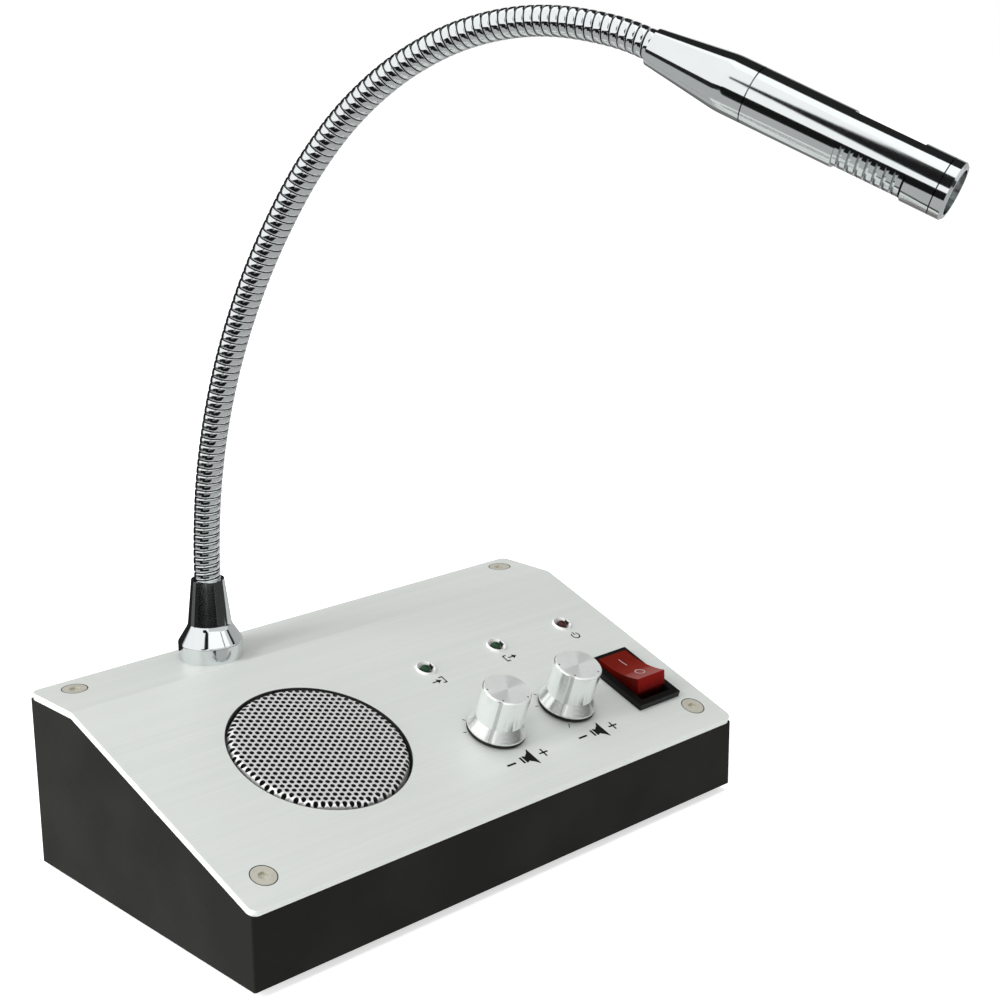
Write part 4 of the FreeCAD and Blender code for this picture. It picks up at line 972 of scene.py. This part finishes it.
def cup_tree():
    tree = GeometryTree("pressed_cup")
    pitch, hole, sheet = tree.size("Pitch"), tree.size("Hole"), tree.size("Sheet")
    radius, edge, hem = tree.size("Radius"), tree.size("Edge"), tree.size("Hem")
    face = tree.math("SUBTRACT", radius, edge)
    bend = tree.math("SUBTRACT", edge, sheet)
    arc = tree.math("MULTIPLY", bend, math.pi / 2)
    bent = tree.math("ADD", face, arc)
    flat = punched_sheet(tree, pitch, hole, tree.math("SUBTRACT", bent, hole), tree.math("ADD", bent, hem))
    pressed = tree.shift(flat, Position=pressed_place(tree, face, bend, arc))
    sockets = {"Mesh": pressed, "Offset Scale": sheet, "Individual": False}
    thick = tree.add("GeometryNodeExtrudeMesh", {"mode": "FACES"}, sockets)
    inside = tree.make("GeometryNodeFlipFaces", {}, {"Mesh": pressed})
    sockets = {"Geometry": tree.join(thick.outputs[0], inside), "Distance": MERGE_DISTANCE}
    merged = tree.make("GeometryNodeMergeByDistance", {}, sockets)
    return tree.end(merged, cup_finish, smooth=False, edges=(thick.outputs["Side"], cut_edge_shade))


def pressed_steel(tree):
    cloud = tree.noise(tree.place(), 900, 2.0, 0.5)
    return {
        "Base Color": tree.blend(cloud, grey(0.8), grey(0.9)),
        "Metallic": 0.4,
        "Roughness": 0.3 + cloud * 0.12,
        "Normal": tree.bump(cloud, 0.1, 0.0001),
    }


cup_finish = material("pressed_steel", pressed_steel)
# painted shade: the walls of the holes and the sheet's cut edge are near black, for the shadow in the holes
cut_edge_shade = plain_plastic("cut_edge_painted_shade", (0.03, 0.03, 0.03, 1), 0.5)
seed = link_piece("seed", bpy.data.meshes.new("seed"))
sizes = {"Pitch": HOLE_PITCH, "Hole": HOLE_RADIUS, "Sheet": SHEET}
sizes.update({"Radius": cup_radius, "Edge": CUP_EDGE, "Hem": CUP_HEM})
cup = cup_tree().run(seed, "loudspeaker_cup", **sizes)
cup.data.transform(slope_matrix(speaker_right, speaker_down, CUP_RISE - SHEET))
bpy.data.objects.remove(seed)
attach(cup, "case")
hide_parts("speaker_grille")
print("cup faces", len(cup.data.polygons))

# %% [markdown]
# ## Printed marks
# Minus, plus and a loudspeaker sign stand below each knob, and five short strokes above it. A longer
# stroke marks where the second knob starts. Each lamp has its own sign: an arrow into a box, an arrow
# out of it, and a standby ring. They are thin black prints, a few hundredths of a millimetre proud,
# drawn as flat outlines on the slope.


# %% Prints on the panel
PRINT_LIFT = 0.03 * MM


def ink(tree):
    grain = tree.noise(tree.place(), 3000, 2.0, 0.5)
    return {
        "Base Color": tree.blend(grain, grey(0.006), grey(0.012)),
        "Roughness": 0.6 + grain * 0.2,
        "Specular IOR Level": 0.1,
    }


ink_finish = material("black_ink", ink)


def flat_print(name, outlines, right, down):
    """A flat print from outlines in millimetres, X to the right and Y up the slope."""
    shape = bmesh.new()
    for outline in outlines:
        shape.faces.new([shape.verts.new((x * MM, y * MM, 0)) for x, y in outline])
    bmesh.ops.recalc_face_normals(shape, faces=shape.faces)
    for face in shape.faces:
        if face.normal.z < 0:
            face.normal_flip()
    mesh = bpy.data.meshes.new(name)
    shape.to_mesh(mesh)
    shape.free()
    piece = link_piece(name, mesh)
    piece.data.materials.append(ink_finish)
    piece.data.transform(slope_matrix(right, down, PRINT_LIFT))
    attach(piece, "case")
    return piece


def bar(x, y, width, height):
    """The corners of an upright bar round its middle."""
    left, right, low, high = x - width / 2, x + width / 2, y - height / 2, y + height / 2
    return [(left, low), (right, low), (right, high), (left, high)]


def ring(inner, outer, start=0.0, sweep=360.0, steps=32):
    """Four-sided pieces of a ring; angles in degrees from the upward direction, clockwise."""
    angles = [math.radians(start + sweep * step / steps) for step in range(steps + 1)]
    rays = [(math.sin(angle), math.cos(angle)) for angle in angles]
    edge = [((inner * x, inner * y), (outer * x, outer * y)) for x, y in rays]
    return [[first[0], second[0], second[1], first[1]] for first, second in zip(edge, edge[1:])]


def stroke(angle, inner, outer, width):
    """A short radial stroke."""
    turn = math.radians(angle)
    along = (math.sin(turn), math.cos(turn))
    across = (math.cos(turn) * width / 2, -math.sin(turn) * width / 2)
    corners = [(inner, -1), (outer, -1), (outer, 1), (inner, 1)]
    return [(along[0] * r + across[0] * s, along[1] * r + across[1] * s) for r, s in corners]


VOLUME_DOWN = 11.5
TICK_ANGLES = range(-70, 71, 35)
START_TICK = -142
TICK_INNER = 7.62
SPEAKER_SIGN = [
    bar(-1.55, 0, 0.62, 2.2),
    bar(-0.6, 0, 0.62, 2.3),
    [(-0.3, -0.9), (0.3, -0.9), (0.3, 0.9), (-0.3, 0.9)],
    [(0.3, -1.1), (1.1, -1.6), (1.95, -2.7), (2.15, -2.7), (2.15, 2.7), (1.95, 2.7), (1.1, 1.6), (0.3, 1.1)],
]
volume_sign = [
    bar(-5.05, 0, 2.8, 0.58),
    *SPEAKER_SIGN,
    bar(5.4, 0, 2.7, 0.46),
    bar(5.4, 0.78, 0.46, 1.12),
    bar(5.4, -0.78, 0.46, 1.12),
]
ticks = [stroke(angle, TICK_INNER, 8.45, 0.24) for angle in TICK_ANGLES]
start = [stroke(START_TICK, TICK_INNER, 9.4, 0.2)]
for number, name in enumerate(("inside", "outside")):
    right = number * control_pitch
    flat_print(name + "_volume_sign", volume_sign, right, VOLUME_DOWN * MM)
    flat_print(name + "_volume_ticks", ticks + start * number, right, 0)

# %% [markdown]
# The lamps' signs are built from the same bars. The second is the first one's box, mirrored, with the
# same arrow moved along, so that it points out.

# %% Signs of the lamps
SIGN_DOWN = -21.3
LINE_WIDTH = 0.34
ARROW_MOVE = 1.6
box_sides = [bar(1.0, height, 0.9, LINE_WIDTH) for height in (1.08, -1.08)]
box_open_left = [bar(1.6, 0, LINE_WIDTH, 2.5), *box_sides]
arrow = [bar(-1.4, 0, 1.6, LINE_WIDTH), [(-0.7, -0.8), (0.65, 0), (-0.7, 0.8)]]
arrow_in = box_open_left + arrow
arrow_out = [[(-x, y) for x, y in shape] for shape in box_open_left]
arrow_out += [[(x + ARROW_MOVE, y) for x, y in shape] for shape in arrow]
standby = ring(0.95, 1.3, 40, 280) + [bar(0, 0.85, LINE_WIDTH, 1.2)]
for number, (name, sign) in enumerate((("in", arrow_in), ("out", arrow_out), ("power", standby))):
    flat_print("lamp_%s_sign" % name, sign, number * control_pitch, SIGN_DOWN * MM)
print("prints made")

# %% [markdown]
# ## Marks on the rocker
# I and O are printed in white on the dished top. Their outlines are dropped on to the CAD node's own
# surface along the slope's normal, so they follow the hollow and turn with the rocker.


# %% I and O
CAST_FROM = 20 * MM
I_DOWN, O_DOWN = -4.3, 1.6


def white_ink(tree):
    grain = tree.noise(tree.place(), 3000, 2.0, 0.5)
    return {"Base Color": tree.blend(grain, grey(0.4), grey(0.52)), "Roughness": 0.5 + grain * 0.2}


def drop_on(piece, node, along):
    """Moves each corner of a piece along a direction on to a node's surface, and a hair above it."""
    shape = bmesh.new()
    shape.from_mesh(nodes[node].data)
    surface = BVHTree.FromBMesh(shape)
    shape.free()
    for vertex in piece.data.vertices:
        hit = surface.ray_cast(vertex.co - along * CAST_FROM, along)[0]
        if hit is not None:
            vertex.co = hit - along * PRINT_LIFT


white_finish = material("white_ink", white_ink)
rocker_right = 2 * control_pitch
letter_i = [bar(0, y, 0.22, 0.5) for y in (-1.25, -0.75, -0.25, 0.25, 0.75, 1.25)]
letter_o = ring(1.1, 1.32)
for name, sign, down in (("rocker_on_mark", letter_i, I_DOWN), ("rocker_off_mark", letter_o, O_DOWN)):
    mark = flat_print(name, sign, rocker_right, down * MM)
    drop_on(mark, "rocker_button", -slope_normal)
    mark.data.materials.clear()
    mark.data.materials.append(white_finish)
    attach(mark, "rocker")
print("I and O printed")

# %% [markdown]
# ## The room and the lamps
# A plain white floor and a white surround. The background is a true white for the camera, and metal
# sees it too, but with the dark flags that a photographer stands around chrome, so that it has edges.
# Each card has its level and its corners, in degrees to the right of straight ahead and above level.


# %% World
ROOM_LIGHT = 0.58
ROOM_LEAN = Vector((0.3, -0.35, 0))
VIEW_AZIMUTH = math.radians(43.41)
VIEW_AWAY = Vector((math.sin(VIEW_AZIMUTH), math.cos(VIEW_AZIMUTH), 0))
VIEW_SIDE = Vector((math.cos(VIEW_AZIMUTH), -math.sin(VIEW_AZIMUTH), 0))
SOFT_EDGE = 1.2
REFLECTED_ROOM = 0.5


def upright(left, right, low, high):
    """The corners of an upright card, anticlockwise, in degrees."""
    return [(left, low), (right, low), (right, high), (left, high)]


REFLECTED_CARDS = [
    (1.3, upright(-200, 200, 32, 100)),
    (0.75, upright(-10, 108, -2, 32)),
    (1.15, upright(-108, 2, -6, 100)),
    (0.02, upright(100, 200, 24, 76)),
    (0.02, [(-200, 5), (-112, 5), (-118, 35), (-150, 52), (-200, 52)]),
    (0.02, upright(-200, -106, -22, 8)),
    (0.2, upright(-200, -150, -60, -22)),
    (0.12, upright(-106, -46, -17, -7)),
    (0.05, upright(50, 135, -17, -2)),
    (0.4, upright(-34, 60, -18, -13)),
    (0.01, upright(-58, 50, -13.5, -3)),
    (0.02, upright(-80, -56, -18, -3)),
    (0.01, [(-59, -29), (-24, -29), (-35, -4), (-50, -4)]),
    (0.01, [(-48, -27), (-36, -43), (-9, -45), (8, -39), (26, -27), (26, -18), (-34, -18)]),
    (0.012, [(-28, 14), (-12, 10), (0, 50), (-5, 57), (-29, 34)]),
]


def inside_card(turn, height, corners):
    """1 inside a card and 0 outside: a point is inside where it is left of every edge."""
    mask = None
    for (turn_a, height_a), (turn_b, height_b) in zip(corners, corners[1:] + corners[:1]):
        length = math.hypot(turn_b - turn_a, height_b - height_a)
        run, climb = (turn_b - turn_a) / length, (height_b - height_a) / length
        left_of = height * run - turn * climb + (climb * turn_a - run * height_a)
        side = left_of.steps(-SOFT_EDGE, SOFT_EDGE)
        mask = side if mask is None else mask * side
    return mask


def studio_world():
    world = bpy.data.worlds.new("studio")
    bpy.context.scene.world = world
    tree = NodeTree(world)
    x, y, z = tree.parts(tree.add("ShaderNodeTexCoord", output="Generated"))
    front = x * (-VIEW_AWAY.x) + y * (-VIEW_AWAY.y)
    side = x * VIEW_SIDE.x + y * VIEW_SIDE.y
    height = z.math("ARCSINE") * math.degrees(1)
    turn = side.math("ARCTAN2", front) * math.degrees(1)
    rays = tree.nodes.new("ShaderNodeLightPath")
    camera = Wire(tree, rays.outputs["Is Camera Ray"])
    glossy = Wire(tree, rays.outputs["Is Glossy Ray"])
    clear = Wire(tree, rays.outputs["Is Transmission Ray"])
    seen = tree.number(REFLECTED_ROOM)
    for level, corners in REFLECTED_CARDS:
        card = inside_card(turn, height, corners)
        seen = seen + card * (level - seen)
    room = ROOM_LIGHT * (1 - x * ROOM_LEAN.x - y * ROOM_LEAN.y)
    plain = camera.math("MAXIMUM", clear)
    strength = plain + (1 - plain) * (glossy * seen + (1 - glossy) * room)
    background = tree.add("ShaderNodeBackground", {}, {"Color": (1, 1, 1, 1), "Strength": strength})
    tree.finish(background, "ShaderNodeOutputWorld")


studio_world()
print("cards round the object", len(REFLECTED_CARDS))

# %% [markdown]
# Three soft lamps stay at a plain level, so that a colour renders about as it is written: a key from
# the left, a low one beside it, and a weak one above. Metal sees the cards and not the lamps.


# %% Lamps
def soft_lamp(name, position, target, size, power):
    light = bpy.data.lights.new(name, "AREA")
    light.shape = "DISK"
    light.size = size
    light.energy = power
    lamp = link_piece(name, light)
    lamp.location = position
    lamp.rotation_euler = (Vector(target) - Vector(position)).to_track_quat("-Z", "Y").to_euler()
    lamp.visible_glossy = False


look_at = (0, -0.02, 0.06)
soft_lamp("key_left", (-1.9, 0.1, 1.3), look_at, 1.0, 26)
soft_lamp("side_left", (-1.5, 0.3, 0.15), look_at, 0.5, 20)
soft_lamp("top", (0.3, -0.2, 1.5), look_at, 0.9, 7)
print("lamps", len(bpy.data.lights))

# %% [markdown]
# White paper lies under the feet. It is stage, not part of the object.

# %% Floor
FLOOR_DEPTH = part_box("rubber_feet")[0].z


def white_floor(tree):
    """White paper that also glows a little, so that the shadow on it stays faint."""
    cloud = tree.noise(tree.place(), 6, 2.0, 0.5)
    return {
        "Base Color": tree.blend(cloud, grey(0.8), grey(0.82)),
        "Roughness": 0.9,
        "Specular IOR Level": 0.0,
        "Emission Color": (1, 1, 1, 1),
        "Emission Strength": 0.62,
    }


def make_floor():
    mesh = bpy.data.meshes.new("floor")
    shape = bmesh.new()
    bmesh.ops.create_grid(shape, x_segments=8, y_segments=8, size=6)
    bmesh.ops.translate(shape, vec=(0, 0, FLOOR_DEPTH), verts=shape.verts)
    shape.to_mesh(mesh)
    shape.free()
    floor = link_piece("floor", mesh)
    floor.data.materials.append(material("white_floor", white_floor))
    floor.visible_glossy = False


make_floor()
print("floor at", in_mm(FLOOR_DEPTH), "mm")

# %% [markdown]
# ## The camera
# The camera stands to the front left, looks down a little and has a moderate lens.

# %% Camera
CAMERA_PLACE = Vector((-266.64, -317.97, 193.76)) * MM
CAMERA_FALL = math.radians(15.16)
CAMERA_ROLL = math.radians(-0.36)
FOCAL_PIXELS = 1826.2
IMAGE_PIXELS = 1000
SENSOR = 36.0


def make_camera():
    data = bpy.data.cameras.new("camera")
    data.sensor_width = SENSOR
    data.lens = FOCAL_PIXELS * SENSOR / IMAGE_PIXELS
    data.clip_start = 0.01
    camera = link_piece("camera", data)
    camera.location = CAMERA_PLACE
    turn = Euler((math.pi / 2 - CAMERA_FALL, 0, -VIEW_AZIMUTH), "XYZ").to_matrix()
    camera.rotation_euler = (turn @ Matrix.Rotation(CAMERA_ROLL, 3, "Z")).to_euler()
    bpy.context.scene.camera = camera


make_camera()
bpy.context.scene.view_settings.view_transform = "Standard"
print("lens", round(bpy.context.scene.camera.data.lens, 2), "mm")

# %% [markdown]
# ## Finish

# %% Finish
print("scene built")
